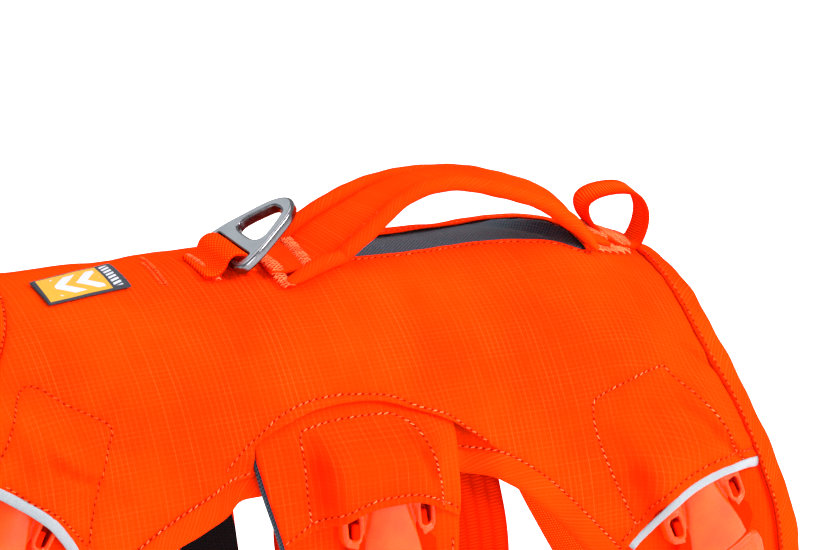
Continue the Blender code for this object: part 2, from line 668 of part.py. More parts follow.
MALE_BODY = ((32.7, 15.0), (34.5, 19.0), (40, 20.4), (50, 18.6), (58, 16.6), (60, 15.0))
PRONG = ((33.8, 6.0), (33.8, 14.2), (30.5, 17.0), (27, 20.2), (20.0, 20.2), (17.2, 16.6), (6.8, 16.0), (5.8, 12.6), (18, 11.0), (28, 8.4))


def male_master():
    ob = solid("male", *prism(mirror_plan(MALE_BODY), 1.0, 7.4, 1.2))
    adds = []
    for sg in (1, -1):
        poly = [(u, sg*v) for u, v in PRONG]
        adds.append(solid("prong", *prism(poly, CAV_LO + 0.5, CAV_HI - 0.5)))
    ob = combine(ob, adds, "UNION")
    cuts = [box("webslot", 45.5, 54.2, -13.1, 13.1, -2, 12),
            box("under", 53.0, 62, -13.1, 13.1, -2, 2.9),
            box("over", 53.0, 62, -13.1, 13.1, 6.0, 12)]
    return combine(ob, cuts, "DIFFERENCE")


def placed(master, f, h0, name, mat):
    verts = [f.world(v.co.x/MM, v.co.y/MM, v.co.z/MM + h0) for v in master.data.vertices]
    return add(name, verts, [tuple(p.vertices) for p in master.data.polygons], mat)


fem, mal = female_master(), male_master()
for f in FRAMES:
    h0 = H0[f.name]
    a = placed(fem, f, h0, "buckle_female_%s_r" % f.name, "buckle_plastic")
    mirrored(a, "buckle_female_%s_l" % f.name)
    a = placed(mal, f, h0, "buckle_male_%s_r" % f.name, "buckle_plastic")
    mirrored(a, "buckle_male_%s_l" % f.name)
bpy.data.objects.remove(fem, do_unlink=True)
bpy.data.objects.remove(mal, do_unlink=True)


# ---- straps ----
def strap_from_buckle(f, table, tail_len=16.0):
    """webbing: loose end over the male's end bar, through its slot, under the bar and on down the body"""
    h0 = H0[f.name]
    uh = [(60 + tail_len, 8.4), (66, 8.1), (59, 7.5), (54.4, 7.5), (51.6, 6.4), (50.4, 4.4), (51.6, 2.3), (54.4, 1.4), (59, 1.6), (63.5, 2.8), (68, 4.2)]
    pts = [f.world(u, 0, h + h0) for u, h in uh]
    low = smooth_line(table, 12.0)
    body = surf(low[:, 0], low[:, 1], low[:, 2])
    nb = normals_on(low[:, :2])
    return np.array(pts), body, nb


def width_dirs(pts, body, nb, f):
    """width direction at each station: the buckle's across axis, then square to the body's normal"""
    c = np.vstack([pts, body])
    t = np.gradient(c, axis=0)
    t /= np.linalg.norm(t, axis=1, keepdims=True)
    w = [f.ev]*len(pts)
    for i in range(len(body)):
        b = np.cross(nb[i], t[len(pts) + i])
        b /= np.linalg.norm(b)
        if np.dot(b, w[-1]) < 0:
            b = -b
        w.append(b)
    return c, np.array(w)


def web(name, c, w, mat, width=WEB_W, thick=WEB_T):
    t = np.gradient(c, axis=0)
    t /= np.linalg.norm(t, axis=1, keepdims=True)
    n = np.cross(t, w)
    return sweep(name, c, n, rect(width, thick), mat)


f = FR["front"]
c, w = width_dirs(*strap_from_buckle(f, FRONT_STRAP), f)
mirrored(web("strap_front_r", c, w, "webbing"), "strap_front_l")
f = FR["girth"]
c, w = width_dirs(*strap_from_buckle(f, GIRTH_STRAP), f)
mirrored(web("strap_girth_r", c, w, "webbing"), "strap_girth_l")
f = FR["rear"]
belly = half_girth(-261)
c, w = width_dirs(*strap_from_buckle(f, REAR_STRAP + ((-261, belly - 0.01, 1.8),)), f)
c[-1, 1] = 0.0
w[-1] = w[-2]*(1, 0, 1)/np.linalg.norm(w[-2]*(1, 0, 1))
m = np.array([1, -1, 1])
c2, w2 = (c[:-1]*m)[::-1], (w[:-1]*m)[::-1]
if np.dot(w2[0], w[-1]) < 0:
    w2 = -w2
web("strap_rear", np.vstack([c, c2]), np.vstack([w, w2]), "webbing")
ANCHOR = ((-20.5, 0.6), (-16, 0.7), (-12, 0.8), (-8.2, 1.7), (-6.9, 4.1), (-8.2, 6.5), (-12, 7.0), (-15.5, 5.4), (-18.5, 3.2))
for f in FRAMES:
    c = np.array([f.world(u, 0, h + H0[f.name]) for u, h in ANCHOR])
    an = web("buckle_anchor_%s_r" % f.name, c, np.tile(f.ev, (len(c), 1)), "webbing", width=WEB_W - 0.4, thick=1.4)
    mirrored(an, "buckle_anchor_%s_l" % f.name)
ln = smooth_line(LOAD_STRAP, 12.0)
c = surf(ln[:, 0], ln[:, 1], ln[:, 2])
mirrored(sweep("strap_load_r", c, normals_on(ln[:, :2]), rect(WEB_W, WEB_T), "webbing"), "strap_load_l")


# ---- chest panel: q across the belly, positive on the right side ----
def chest_point(x, q, off):
    s = np.array([half_girth(k) for k in x]) - np.abs(q)
    return surf(x, np.where(q >= 0, s, -s), off)


CHEST = [(CHEST_X0, 0), (CHEST_X0, 18), (-77, 32), (-72, 44), (-70, 62), (-68, 92), (-65, 125), (-62, 141), (-55, 147), (-38, 147), (-29, 141), (-14, 124), (10, 100),
         (15, 84), (20, 62), (30, 48), (46, 40), (70, CHEST_HALF), (110, 33), (140, 31), (158, 26), (CHEST_X1 - 2, 14), (CHEST_X1, 0)]


def chest_sheet(name, grow, off_out, thick, mat):
    half = smooth_line(CHEST, 12.0)
    half = thin(half, 12.0)
    o2 = half[::-1][1:-1].copy()
    o2[:, 1] *= -1
    outline = np.vstack([half, o2])
    c0 = outline.mean(axis=0)
    rv, tri = flat_mesh(outline, (), GRID_X, GRID_S)
    x, q = rv[:, 0], rv[:, 1]
    top, bot = chest_point(x, q, off_out), chest_point(x, q, off_out - thick)
    n = len(rv)
    faces = [tuple(t) for t in tri] + [tuple(t[::-1] + n) for t in tri]
    seen = {(int(t[i]), int(t[(i + 1) % 3])) for t in tri for i in range(3)}
    for (a, b) in seen:
        if (b, a) not in seen:
            faces.append((b, a, a + n, b + n))
    return add(name, np.vstack([top, bot]), faces, mat)


chest_sheet("chest_panel", 0, 0.0, 1.2, "shell_cloth")
chest_sheet("chest_lining", 0, -1.2 - GAP, 2.2, "lining_black")

# ---- handle: flat strip between two rolled edges ----
rows = []
for x, y, z, r in HANDLE:
    if z == 0:
        z = float(surf(x, 0, 0)[0, 2]) + 2.6
    rows.append((x, y, z, r))
hl = smooth_line(rows, 12.0)
cen, rol = hl[:, :3], np.radians(hl[:, 3])
t = np.gradient(cen, axis=0)
t /= np.linalg.norm(t, axis=1, keepdims=True)
yy = np.tile([0.0, 1.0, 0.0], (len(cen), 1))
upv = np.cross(t, yy)
upv /= np.linalg.norm(upv, axis=1, keepdims=True)
upv = np.where(upv[:, 2:3] < 0, -upv, upv)
sidev = np.cross(upv, t)
sidev = np.where(sidev[:, 1:2] < 0, -sidev, sidev)
wid = sidev*np.cos(rol)[:, None] + upv*np.sin(rol)[:, None]
nor = np.cross(t, wid)
nor = np.where((nor*upv).sum(1)[:, None] < 0, -nor, nor)
sweep("handle_strip", cen, nor, rect(HANDLE_W, HANDLE_T), "shell_cloth")
octo = [(ROLL_D/2*math.cos(math.radians(60*k)), ROLL_D/2*math.sin(math.radians(60*k))) for k in range(6)]
endt = np.clip(np.minimum(np.arange(len(cen)), len(cen) - 1 - np.arange(len(cen)))/2.0, 0, 1)
for nm, sg in (("near", -1), ("far", 1)):
    prof = [[(a*(0.8 + 0.2*k), b*(0.5 + 0.5*k)) for a, b in octo] for k in endt]
    lift = (1 - endt)[:, None]*0.4
    sweep("handle_roll_" + nm, cen + wid*sg*(HANDLE_W/2 + SEAM + ROLL_D/2) + nor*lift, nor, prof, "shell_cloth")

# ---- leash ring and its webbing ----
th = math.radians(RING_TILT)
ep, en = np.array([math.cos(th), 0, math.sin(th)]), np.array([-math.sin(th), 0, math.cos(th)])
bar = np.array([RING_BAR[0], RING_Y, RING_BAR[1]])
RING_OUT = ((-2.1, 11.0), (-1.8, 15.2), (0.2, 17.4), (4.0, 17.6), (12, 15.6), (22, 12.4), (31, 9.2), (35.5, 6.2), (37.6, 2.4))
RING_HOLE = ((12.4, 4.0), (13.6, 8.2), (16.6, 9.6), (20, 8.9), (28, 5.2), (31.2, 2.2))


def ring_solid(name, plan, h0, h1, top_in):
    return solid(name, *prism(mirror_plan(plan), h0, h1, top_in))


rg = ring_solid("v_ring_raw", RING_OUT, 0, RING_T, 1.0)
cut = [ring_solid("hole", RING_HOLE, -2, RING_T + 2, 0), box("slot", 1.8, 7.2, -13.6, 13.6, -2, RING_T + 2),
       box("thin", -6, 2.0, -13.6, 13.6, RING_T/2 + 1.6, RING_T + 2), box("thin2", -6, 2.0, -13.6, 13.6, -2, RING_T/2 - 1.6)]
rg = combine(rg, cut, "DIFFERENCE")
verts = [bar + ep*(v.co.x/MM) + np.array([0, 1, 0])*(v.co.y/MM) + en*(v.co.z/MM - RING_T/2) for v in rg.data.vertices]
add("v_ring", verts, [tuple(p.vertices) for p in rg.data.polygons], "ring_metal")
bpy.data.objects.remove(rg, do_unlink=True)
zs = [float(surf(k, 0, 0)[0, 2]) for k in (-92, -86, -74, -68)]
web_path = [(-92, zs[0] + 1.35), (-88.2, zs[1] + 1.3), (-85.6, zs[1] + 2.6), (-84.2, 15.6), (-82.4, 18.8), (-79.2, 19.9), (-76.2, 18.7), (-74.7, 16.0), (-75.3, 13.2), (-73.6, zs[2] + 1.75), (-69.5, zs[3] + 1.35)]
c = np.array([(x, RING_Y, z) for x, z in web_path])
sweep("v_ring_webbing", c, np.cross(np.gradient(c, axis=0), np.tile([0.0, 1.0, 0.0], (len(c), 1))), rect(WEB_W - 1.0, 1.5), "webbing")

# ---- front webbing loop: x, height above the shell's spine at x = 108 ----
z108 = float(surf(108, 0, 0)[0, 2])
c = []
for k, (x, h) in enumerate(FRONT_LOOP):
    if k < 2 or k == len(FRONT_LOOP) - 1:
        c.append((x, 0, float(surf(x, 0, 0)[0, 2]) + h + 1.6))
    else:
        c.append((x, 0, z108 + h))
c = np.array(c)
fl = smooth_line(c[:, [0, 2, 1]], 6.0)[:, [0, 2, 1]]
sweep("front_loop", fl, np.cross(np.gradient(fl, axis=0), np.tile([0.0, 1.0, 0.0], (len(fl), 1))), rect(20.0, 1.6), "webbing")

# ---- label patch on the shell ----
x0, x1, s0, s1 = LABEL
lab = [(x0, s0), ((x0 + x1)/2, s0), (x1, s0), (x1, (s0 + s1)/2), (x1, s1), ((x0 + x1)/2, s1), (x0, s1), (x0, (s0 + s1)/2)]
panel("label", np.array(lab), lambda x, s: 1.5 + 0*x, lambda x, s: 0.5 + 0*x, "label_cloth")
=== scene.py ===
"""Looks for the dog harness: fine cloth skins, bindings, webbing, stitches, moulded buckles and the leash ring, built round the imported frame.
All cloth is drawn in pattern coordinates in millimetres (x along the spine, s round the body) and carried onto the same form as the CAD."""
import bpy, bmesh, math
import numpy as np
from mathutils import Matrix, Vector
from mathutils.geometry import delaunay_2d_cdt


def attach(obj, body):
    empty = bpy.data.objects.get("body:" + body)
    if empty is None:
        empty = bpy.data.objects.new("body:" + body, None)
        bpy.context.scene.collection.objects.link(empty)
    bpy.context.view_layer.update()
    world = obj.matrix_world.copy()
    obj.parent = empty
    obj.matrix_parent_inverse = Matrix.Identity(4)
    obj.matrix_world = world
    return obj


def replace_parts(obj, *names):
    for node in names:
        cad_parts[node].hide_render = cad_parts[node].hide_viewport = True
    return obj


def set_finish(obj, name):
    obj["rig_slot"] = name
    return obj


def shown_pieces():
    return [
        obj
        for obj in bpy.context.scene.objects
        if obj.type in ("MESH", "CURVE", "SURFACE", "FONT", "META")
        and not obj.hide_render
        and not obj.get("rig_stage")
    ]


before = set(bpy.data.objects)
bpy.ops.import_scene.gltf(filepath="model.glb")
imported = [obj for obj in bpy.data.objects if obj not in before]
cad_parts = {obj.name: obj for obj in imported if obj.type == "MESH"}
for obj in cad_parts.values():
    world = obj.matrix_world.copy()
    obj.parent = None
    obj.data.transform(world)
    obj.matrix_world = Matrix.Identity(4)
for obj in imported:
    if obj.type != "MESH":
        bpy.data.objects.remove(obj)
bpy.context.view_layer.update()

MM = 0.001
BODY = "harness"

# ------------------------------------------------------------------ sizes, millimetres
WEB_W, WEB_T = 25.0, 1.6
SHELL_T, BASE_T, TAB_T = 1.2, 1.0, 1.0
GAP, SEAM = 0.6, 0.5
BIND_W, BIND_T = 10.0, 4.0
POCKET_H, BUCKLE_H = 9.9, 8.3
PIPE_W, PIPE_T = 4.6, 1.4
HANDLE_W, HANDLE_T, ROLL_D = 19.0, 2.0, 6.4
RING_T, RING_TILT = 5.0, 28.0
FLAT_DEPTH = 1.5
PITCH = 3.0                         # stitch pitch

# body form: x, spine z, half width, height from widest line to spine, depth below the widest line
FORM = (
    (-300,  12.2,  74,  88,  98),
    (-260,  14.2,  80,  96, 110),
    (-200,  18.2,  86, 102, 118),
    (-160,  16.2,  89, 105, 124),
    ( -90,  11.2,  94, 110, 140),
    (   0,   3.3,  98, 114, 156),
    (  40,  -0.8,  99, 115, 161),
    (  80,  -4.8, 100, 114, 164),
    ( 120, -22.8,  98, 104, 158),
    ( 160, -43.8,  92,  94, 146),
    ( 200, -67.8,  84,  82, 130),
)
TAIL_EDGE = ((-182, 0), (-184, 12), (-188.5, 26), (-197, 41), (-210.5, 57), (-225.5, 77), (-238.5, 98), (-250.5, 120), (-256.5, 142), (-250, 158.5), (-232, 165.5))
SIDE_EDGE = ((-229.5, 166), (-205, 162), (-182, 151), (-160, 138.5), (-139, 126.5), (-117, 117), (-106, 113), (-90, 111.5), (-54, 111), (-18, 112),
             (2, 116.5), (12, 121.5), (23, 130), (34, 141.5), (47, 157), (60, 173), (76, 188), (94, 198), (107, 201.5))
NECK_EDGE = ((128.5, 0), (127, 30), (126.3, 60), (131, 87), (138.5, 113), (144.5, 131), (147, 147), (148, 163), (146, 179), (138, 192), (125, 200), (109.5, 202))
ARCH_FOLD = ((-98.6, 105), (-98.9, 96.8), (-96, 93.8), (-84, 89), (-71, 85), (-58, 83.5), (-42, 84), (-28, 88.5), (-16, 93.5), (-6, 100), (3, 107.5), (10, 114.6))
TAB = ((-98, 72), (-98, 96), (-95.5, 118), (-91.2, 140), (-86.5, 165), (-79, 188), (-67, 203), (-46, 208), (-27, 203), (-18, 188),
       (-15, 165), (-13, 140), (-11, 115), (-10, 95), (-12, 72))
TAB_FLAP_HEM = ((-90.8, 140.0), (-88, 138.6), (-79, 134.6), (-68, 129.8), (-57, 126), (-46, 125), (-37, 125), (-30, 127.2), (-24, 131), (-19, 134.6), (-13.4, 137.6))
SLOT = ((-33, 6), (-20, 9), (-5, 9.5), (13, 8.5), (41, 6.5), (60, 10), (73, 14), (86, 19), (86, -12), (79, -18), (68, -22), (50, -25), (31, -20), (11, -16), (-6, -14), (-24, -8))
BUCKLES = (
    ("front", 95.0, 132.0, 95.0 + 40.7, 132.0 + 91.4, 31.0, 34.0, 46.0),
    ("girth", -46.5, 125.0, -46.5, 225.0, 33.0, 28.5, 33.0),
    ("rear", -200.0, 98.0, -200.0 - 59.0, 98.0 + 80.7, 31.0, 32.0, 43.0),
)
FRONT_HEM = ((8.4, 35.4), (5.4, 31.2), (-0.9, 23.4), (-5.8, 14.6), (-7.4, 7.3), (-8.3, -0.1), (-8.3, -7.9), (-6.8, -15.8), (-3.1, -22.4), (1.3, -28.8), (5.1, -36.3), (7.2, -41.0))
REAR_HEM = ((15.6, -44.8), (12.3, -40.0), (6.7, -30.2), (3.6, -23.3), (1.3, -17.4), (0.2, -12.9), (-0.9, -5.2), (-1.4, 2.2), (-1.7, 9.4), (-0.6, 18.0), (3.6, 30.5))
HANDLE = ((-64, -8, 0, 5), (-59, -8, 0, 6), (-52, -7, 0, 8), (-46, -6, 9.6, 16), (-40, -5, 12.0, 32), (-34, -4.6, 15.0, 34), (-27, -4, 18.2, 27), (-18, -3, 21.8, 17), (-6, -1, 26.2, 4), (6, 0, 29.2, -4),
          (18, 0, 30.4, -5), (30, 0, 28.8, -3), (42, 0, 25.4, 0), (54, 0, 20.8, 2), (66, -0.5, 15.4, 4), (77, -2, 8.8, 7), (84, -4, 2.2, 9), (89, -5, -3.2, 8), (94, -5, 0, 5), (99, -5, 0, 4))
NEAR_ROLL = ((-59.4, 25.4, 0.4), (-57, 25, 1.4), (-52, 23.5, 2.4), (-45, 20.2, 2.6), (-38, 17.6, 3.0))
NEAR_ROLL_FRONT = ((77, 17.2, 8.6), (82.5, 20.6, 4.6), (86, 23.0, 2.2), (88, 24.4, 0.9))
FRONT_LOOP = ((114, 0), (107.5, 0), (103.4, 7.6), (100.6, 13.0), (98.6, 18.6), (99.4, 24.2), (103.6, 27.8), (110.5, 29.2), (118.5, 27.4), (124.6, 21.4), (126.0, 13.0), (124.4, 5.0), (120.5, 2.2), (113, 2.4))
RING_BAR = (-79.0, 15.6)
LABEL = (-162.0, -124.5, -9.5, 17.5)
FRONT_STRAP = ((122.0, 194.4, 3.0), (125.4, 202, 2.8), (130.5, 213, 2.2), (140, 231, 2.0), (150.5, 254, 2.2), (156.5, 280, 2.2), (156, 303, 1.6), (150, 322, 1.3))
GIRTH_STRAP = ((-46.5, 204, 1.5), (-46.5, 222, 1.3), (-46.5, 240, 1.3), (-46.5, 262, 1.3))
REAR_STRAP = ((-245.6, 160.4, 3.8), (-251, 171, 3.6), (-256, 184, 2.4), (-259, 198, 1.8), (-261, 220, 1.8), (-261, 245, 1.8), (-261, 268, 1.8))
LOAD_STRAP = ((-1.5, 84, -13.6), (-1.5, 105, -13.6), (-1.5, 126, -12.8), (-1.5, 150, -9.8), (-1.5, 180, -9.2), (-1.5, 205, -7.6), (-2, 222, -2.4), (-3, 236, 1.3), (-3, 262, 1.3))
CHEST_HALF, CHEST_X0, CHEST_X1 = 36.0, -80.0, 168.0

# stitch lines on the shell, right side: x, s
FRONT_POCKET = ((66.6, 152.6), (61.2, 140.6), (56.5, 127), (54.2, 114), (53.6, 106.6), (54.6, 100), (57.3, 96.1), (74.7, 90.4), (92.1, 82.8), (94.3, 82.4), (101, 91.7), (107.5, 101), (113.8, 110.4), (119.4, 115.6))
REAR_POCKET = ((-214, 90), (-200, 72), (-184.5, 56), (-170, 67), (-156, 78), (-160, 87), (-164, 95), (-169, 105), (-174, 124))
REAR_HEM_ST = ((-206, 90), (-202, 94), (-196, 100), (-189, 105), (-184, 110), (-178, 118), (-172, 127))
ARCH_ST = ((-112, 104), (-108, 100), (-102, 95), (-95, 91), (-85, 85), (-73, 81), (-59, 79.6), (-45, 81), (-35, 83), (-25, 88), (-13, 93), (-5, 100), (4, 108))
GIRTH_POCKET = ((-79, 131), (-79.5, 122), (-79, 108), (-78, 94), (-74, 91), (-60, 89), (-39, 89), (-34, 91), (-30, 95), (-28, 102), (-26, 111), (-24, 120), (-22, 132))
FLAP_HEM_ST = ((-92, 138), (-89, 136.6), (-80, 131.6), (-67, 125.6), (-54, 121.6), (-46, 121.2), (-37, 121.4), (-29, 124), (-21, 129.4), (-13, 134))

# folds and puckers in the shell, right side: x0, s0, x1, s1, half width, height
SHELL_FOLDS = (
    (96.8, 98.7, 104.9, 105.6, 3.4, -1.3), (104.9, 105.6, 111.9, 110.0, 3.2, -1.6), (111.9, 110.0, 117.5, 113.6, 2.8, -1.2),
    (100.5, 93.5, 112.0, 104.5, 2.6, 0.7),
    (60.5, 112, 66.5, 130, 4.2, -1.1), (66.5, 130, 73.0, 146, 4.4, -1.7),
    (109.6, 67.7, 115.5, 70.4, 2.6, -0.8), (115.5, 70.4, 120.2, 73.8, 2.4, -0.9), (106, 63, 117, 68, 3.0, 0.5),
    (-186.5, 79.8, -185.0, 84.9, 3.0, -0.9), (-185.0, 84.9, -182.5, 88.5, 3.0, -1.3), (-182.5, 88.5, -177.3, 92.7, 2.8, -1.5), (-177.3, 92.7, -171.4, 96.0, 2.6, -1.4), (-171.4, 96.0, -166.5, 98.5, 2.3, -0.9),
    (-181.3, 92.0, -176.5, 96.8, 2.8, 1.0), (-176.5, 96.8, -168.1, 102.2, 2.8, 1.0),
    (-199.1, 72.8, -194.4, 84.7, 5.0, -1.2),
    (-155.7, 76.9, -149.0, 69.7, 3.0, 0.9), (-149.0, 69.7, -142.0, 62.0, 4.0, 0.6),
    (-160, 84, -150, 88, 3.2, -0.5), (-166, 100, -156, 107, 3.4, -0.6), (-169, 110, -159, 117, 3.4, 0.6),
    (-124, 20, -116, 38, 9.0, -0.7), (-20, 34, 30, 44, 14.0, -0.8), (30, 60, 80, 66, 12.0, 0.8), (-60, 50, -30, 70, 10.0, 0.6),
    (52, 92, 44, 84, 3.0, 0.5), (94.5, 80.5, 99, 73, 3.0, 0.6),
)
FLAP_FOLDS = (
    (-73.8, 95.5, -74.5, 108.0, 3.0, -1.4), (-74.5, 108.0, -73.5, 121.0, 3.6, -1.8),
    (-34.2, 97.5, -31.0, 105.6, 2.5, -1.2), (-31.0, 105.6, -27.9, 113.5, 2.4, -1.5), (-27.9, 113.5, -25.4, 127.6, 2.3, -1.3),
    (-36.5, 103, -32.5, 116, 2.4, 0.7), (-69, 96, -68.5, 116, 4.0, 0.6),
    (-83, 100, -85, 122, 4.0, 0.5), (-18, 100, -17, 124, 3.4, 0.5),
)

# ------------------------------------------------------------------ the form
TF = np.array(FORM, float)
XS = TF[:, 0]
GR = [np.gradient(TF[:, k], XS) for k in range(5)]


def column(x, col):
    p, m = TF[:, col], GR[col]
    x = np.clip(np.asarray(x, float), XS[0], XS[-1])
    i = np.clip(np.searchsorted(XS, x) - 1, 0, len(XS) - 2)
    h = XS[i + 1] - XS[i]
    t = (x - XS[i])/h
    return (2*t**3 - 3*t**2 + 1)*p[i] + (t**3 - 2*t**2 + t)*h*m[i] + (-2*t**3 + 3*t**2)*p[i + 1] + (t**3 - t**2)*h*m[i + 1]


def ring_point(x, phi):
    z0, w, ht, hb = (column(x, k) for k in (1, 2, 3, 4))
    z = np.where(np.abs(phi) <= math.pi/2, z0 - ht*(1 - np.cos(phi)), z0 - ht + hb*np.cos(phi))
    return np.stack([x + 0*phi, -w*np.sin(phi), z], -1)


XG = np.arange(-300.0, 200.1, 5.0)
PG = np.linspace(0, math.pi, 361)
SG = np.arange(0, 440.0, 1.0)
HALF, PH = [], []
for gx in XG:
    q = ring_point(np.full(len(PG), gx), PG)
    arc = np.concatenate([[0], np.cumsum(np.linalg.norm(np.diff(q, axis=0), axis=1))])
    HALF.append(arc[-1])
    PH.append(np.interp(SG, arc, PG))
HALF, PH = np.array(HALF), np.array(PH)


def half_girth(x):
    return np.interp(x, XG, HALF)


def phi_at(x, s):
    x, s = np.broadcast_arrays(np.asarray(x, float), np.asarray(s, float))
    fx = np.clip((x - XG[0])/5, 0, len(XG) - 1.0001)
    i = fx.astype(int)
    t = fx - i
    fs = np.clip(np.abs(s), 0, len(SG) - 1.0001)
    k = fs.astype(int)
    r = fs - k
    a = PH[i, k]*(1 - r) + PH[i, k + 1]*r
    b = PH[i + 1, k]*(1 - r) + PH[i + 1, k + 1]*r
    return np.where(s < 0, -1.0, 1.0)*(a*(1 - t) + b*t)


def bare(x, s):
    x, s = np.atleast_1d(np.asarray(x, float)), np.atleast_1d(np.asarray(s, float))
    x, s = np.broadcast_arrays(x, s)
    phi = phi_at(x, s)
    p = ring_point(x, phi)
    dx = ring_point(x + 0.5, phi) - ring_point(x - 0.5, phi)
    df = ring_point(x, phi + 0.004) - ring_point(x, phi - 0.004)
    n = np.cross(df, dx)
    return p, n/np.linalg.norm(n, axis=-1, keepdims=True)


def ramp(t):
    t = np.clip(t, 0, 1)
    return t*t*(3 - 2*t)


class Frame:
    """a rigid buckle's flat: origin at the hem, eu down the strap, ev across, n outward"""
    def __init__(self, name, hx, hs, ax, as_, vm, vp, depth):
        self.name, self.vm, self.vp, self.depth = name, vm, vp, depth
        self.h = np.array([hx, hs])
        d = np.array([ax - hx, as_ - hs], float)
        d /= np.linalg.norm(d)
        self.d2 = d
        c = self.h + d*23.0
        p, n = bare(*c)
        ph, _ = bare(hx, hs)
        self.n = n[0]
        eu = p[0] - ph[0]
        eu -= self.n*np.dot(eu, self.n)
        self.eu = eu/np.linalg.norm(eu)
        self.ev = np.cross(self.n, self.eu)
        if self.ev[0] < 0:
            self.ev = -self.ev
        if name == "rear":
            self.ev = -self.ev
        self.o = p[0] - self.eu*23.0 - self.n*FLAT_DEPTH

    def uvh(self, p):
        q = p - self.o
        return q@self.eu, q@self.ev, q@self.n

    def world(self, u, v, h):
        return self.o + np.multiply.outer(u, self.eu) + np.multiply.outer(v, self.ev) + np.multiply.outer(h, self.n)


FR = {row[0]: Frame(*row) for row in BUCKLES}


def surf(x, s, off=0.0):
    x, s = np.atleast_1d(np.asarray(x, float)), np.atleast_1d(np.asarray(s, float))
    x, s = np.broadcast_arrays(x, s)
    p, n = bare(x, np.abs(s))
    for f in FR.values():
        u, v, h = f.uvh(p)
        near = (h > -45)
        w = ramp(1 - (np.abs(u - 23) - 38)/26)*ramp(1 - (np.abs(v) - 22)/22)*near
        p = p + f.n*(w*(-h))[..., None]
        n = n*(1 - w)[..., None] + f.n*w[..., None]
    n = n/np.linalg.norm(n, axis=-1, keepdims=True)
    p = p + n*np.broadcast_to(np.asarray(off, float), x.shape)[..., None]
    p = p.copy()
    p[..., 1] *= np.where(s < 0, -1.0, 1.0)
    return p


def pattern_of(f, u, v):
    q = f.h + f.d2*u
    for _ in range(30):
        p, _n = bare(*q)
        uu, vv, _h = f.uvh(p[0])
        ux, vx, _ = f.uvh(bare(q[0] + 0.5, q[1])[0][0])
        us, vs, _ = f.uvh(bare(q[0], q[1] + 0.5)[0][0])
        jac = np.array([[(ux - uu)*2, (us - uu)*2], [(vx - vv)*2, (vs - vv)*2]])
        q = q + np.linalg.solve(jac, np.array([u - uu, v - vv]))
    return q


# ------------------------------------------------------------------ lines and fields
def smooth_line(pts, step):
    p = np.array(pts, float)
    ext = np.vstack([2*p[0] - p[1], p, 2*p[-1] - p[-2]])
    out = []
    for i in range(1, len(ext) - 2):
        a, b, c, d = ext[i - 1], ext[i], ext[i + 1], ext[i + 2]
        n = max(1, int(math.ceil(np.linalg.norm((c - b)[:2])/step)))
        for k in range(n):
            t = k/n
            out.append(0.5*((2*b) + (c - a)*t + (2*a - 5*b + 4*c - d)*t*t + (-a + 3*b - 3*c + d)*t**3))
    out.append(p[-1])
    return np.array(out)


def even(line, step):
    """the line at even spacing"""
    line = np.asarray(line, float)
    d = np.concatenate([[0], np.cumsum(np.linalg.norm(np.diff(line, axis=0), axis=1))])
    n = max(2, int(round(d[-1]/step)) + 1)
    t = np.linspace(0, d[-1], n)
    return np.stack([np.interp(t, d, line[:, k]) for k in range(line.shape[1])], 1)


def inset(line, d):
    t = np.gradient(line, axis=0)
    t /= np.linalg.norm(t, axis=1, keepdims=True)
    return line + d*np.stack([-t[:, 1], t[:, 0]], 1)


def wob(x, s, wave, seed):
    """smooth noise about -1 to 1 with that wavelength in millimetres"""
    r = np.random.RandomState(seed)
    out = 0
    for k in range(7):
        a, ph, f = r.uniform(0, 2*math.pi), r.uniform(0, 2*math.pi), r.uniform(0.65, 1.5)
        out = out + np.sin((x*math.cos(a) + s*math.sin(a))*2*math.pi*f/wave + ph)
    return out/3.2


def line_distance(px, ps, line):
    """distance to a polyline and the length along it"""
    best = np.full(px.shape, 1e9)
    at = np.zeros(px.shape)
    run = 0.0
    for a, b in zip(line[:-1], line[1:]):
        ab = b - a
        ln = float(np.linalg.norm(ab))
        t = np.clip(((px - a[0])*ab[0] + (ps - a[1])*ab[1])/max(ln*ln, 1e-9), 0, 1)
        d = np.hypot(px - a[0] - t*ab[0], ps - a[1] - t*ab[1])
        m = d < best
        best = np.where(m, d, best)
        at = np.where(m, run + t*ln, at)
        run += ln
    return best, at


def seams_field(x, s, lines, depth=0.55, width=1.3, pucker=0.22, spread=5.0, seed=3):
    out = np.zeros(np.shape(x))
    for k, ln in enumerate(lines):
        d, at = line_distance(x, s, ln)
        out -= depth*np.exp(-(d/width)**2)
        m = np.exp(-(d/spread)**2)
        out += pucker*m*(np.sin(at*2*math.pi/7.3 + 2.1*np.sin(at/9.0 + k)) + 0.6*np.sin(at*2*math.pi/4.4 + 1.7*k + 1.3*np.sin(at/5.0)))*np.minimum(1, d/1.5)
    return out


def folds_field(x, s, table):
    out = np.zeros(np.shape(x))
    for x0, s0, x1, s1, w, h in table:
        d, _ = line_distance(x, s, np.array([(x0, s0), (x1, s1)], float))
        out += h*np.exp(-(d/w)**2)
    return out


def pocket(x, s, names):
    p, _ = bare(x, np.abs(np.atleast_1d(s)))
    out = np.zeros(p.shape[:-1])
    for nm in names:
        f = FR[nm]
        u, v, h = f.uvh(p)
        half = np.where(v < 0, f.vm, f.vp)
        if nm != "girth":
            half = half + 4.0
        flat = np.minimum(19.5, half - 8.5) if nm == "girth" else 13.0
        g = ramp(1 - (np.abs(v) - flat)/(half - flat))*ramp((u + f.depth)/(f.depth - 15.0))*(h > -45)
        out = np.maximum(out, POCKET_H*g)
    return out


TAB_OUT = -SHELL_T - GAP - 0.8
UNDER_TAB = 7.4 + GAP


def sink(x):
    x = np.asarray(x, float)
    return ramp((x + 123)/20)*ramp((9 - x)/17)


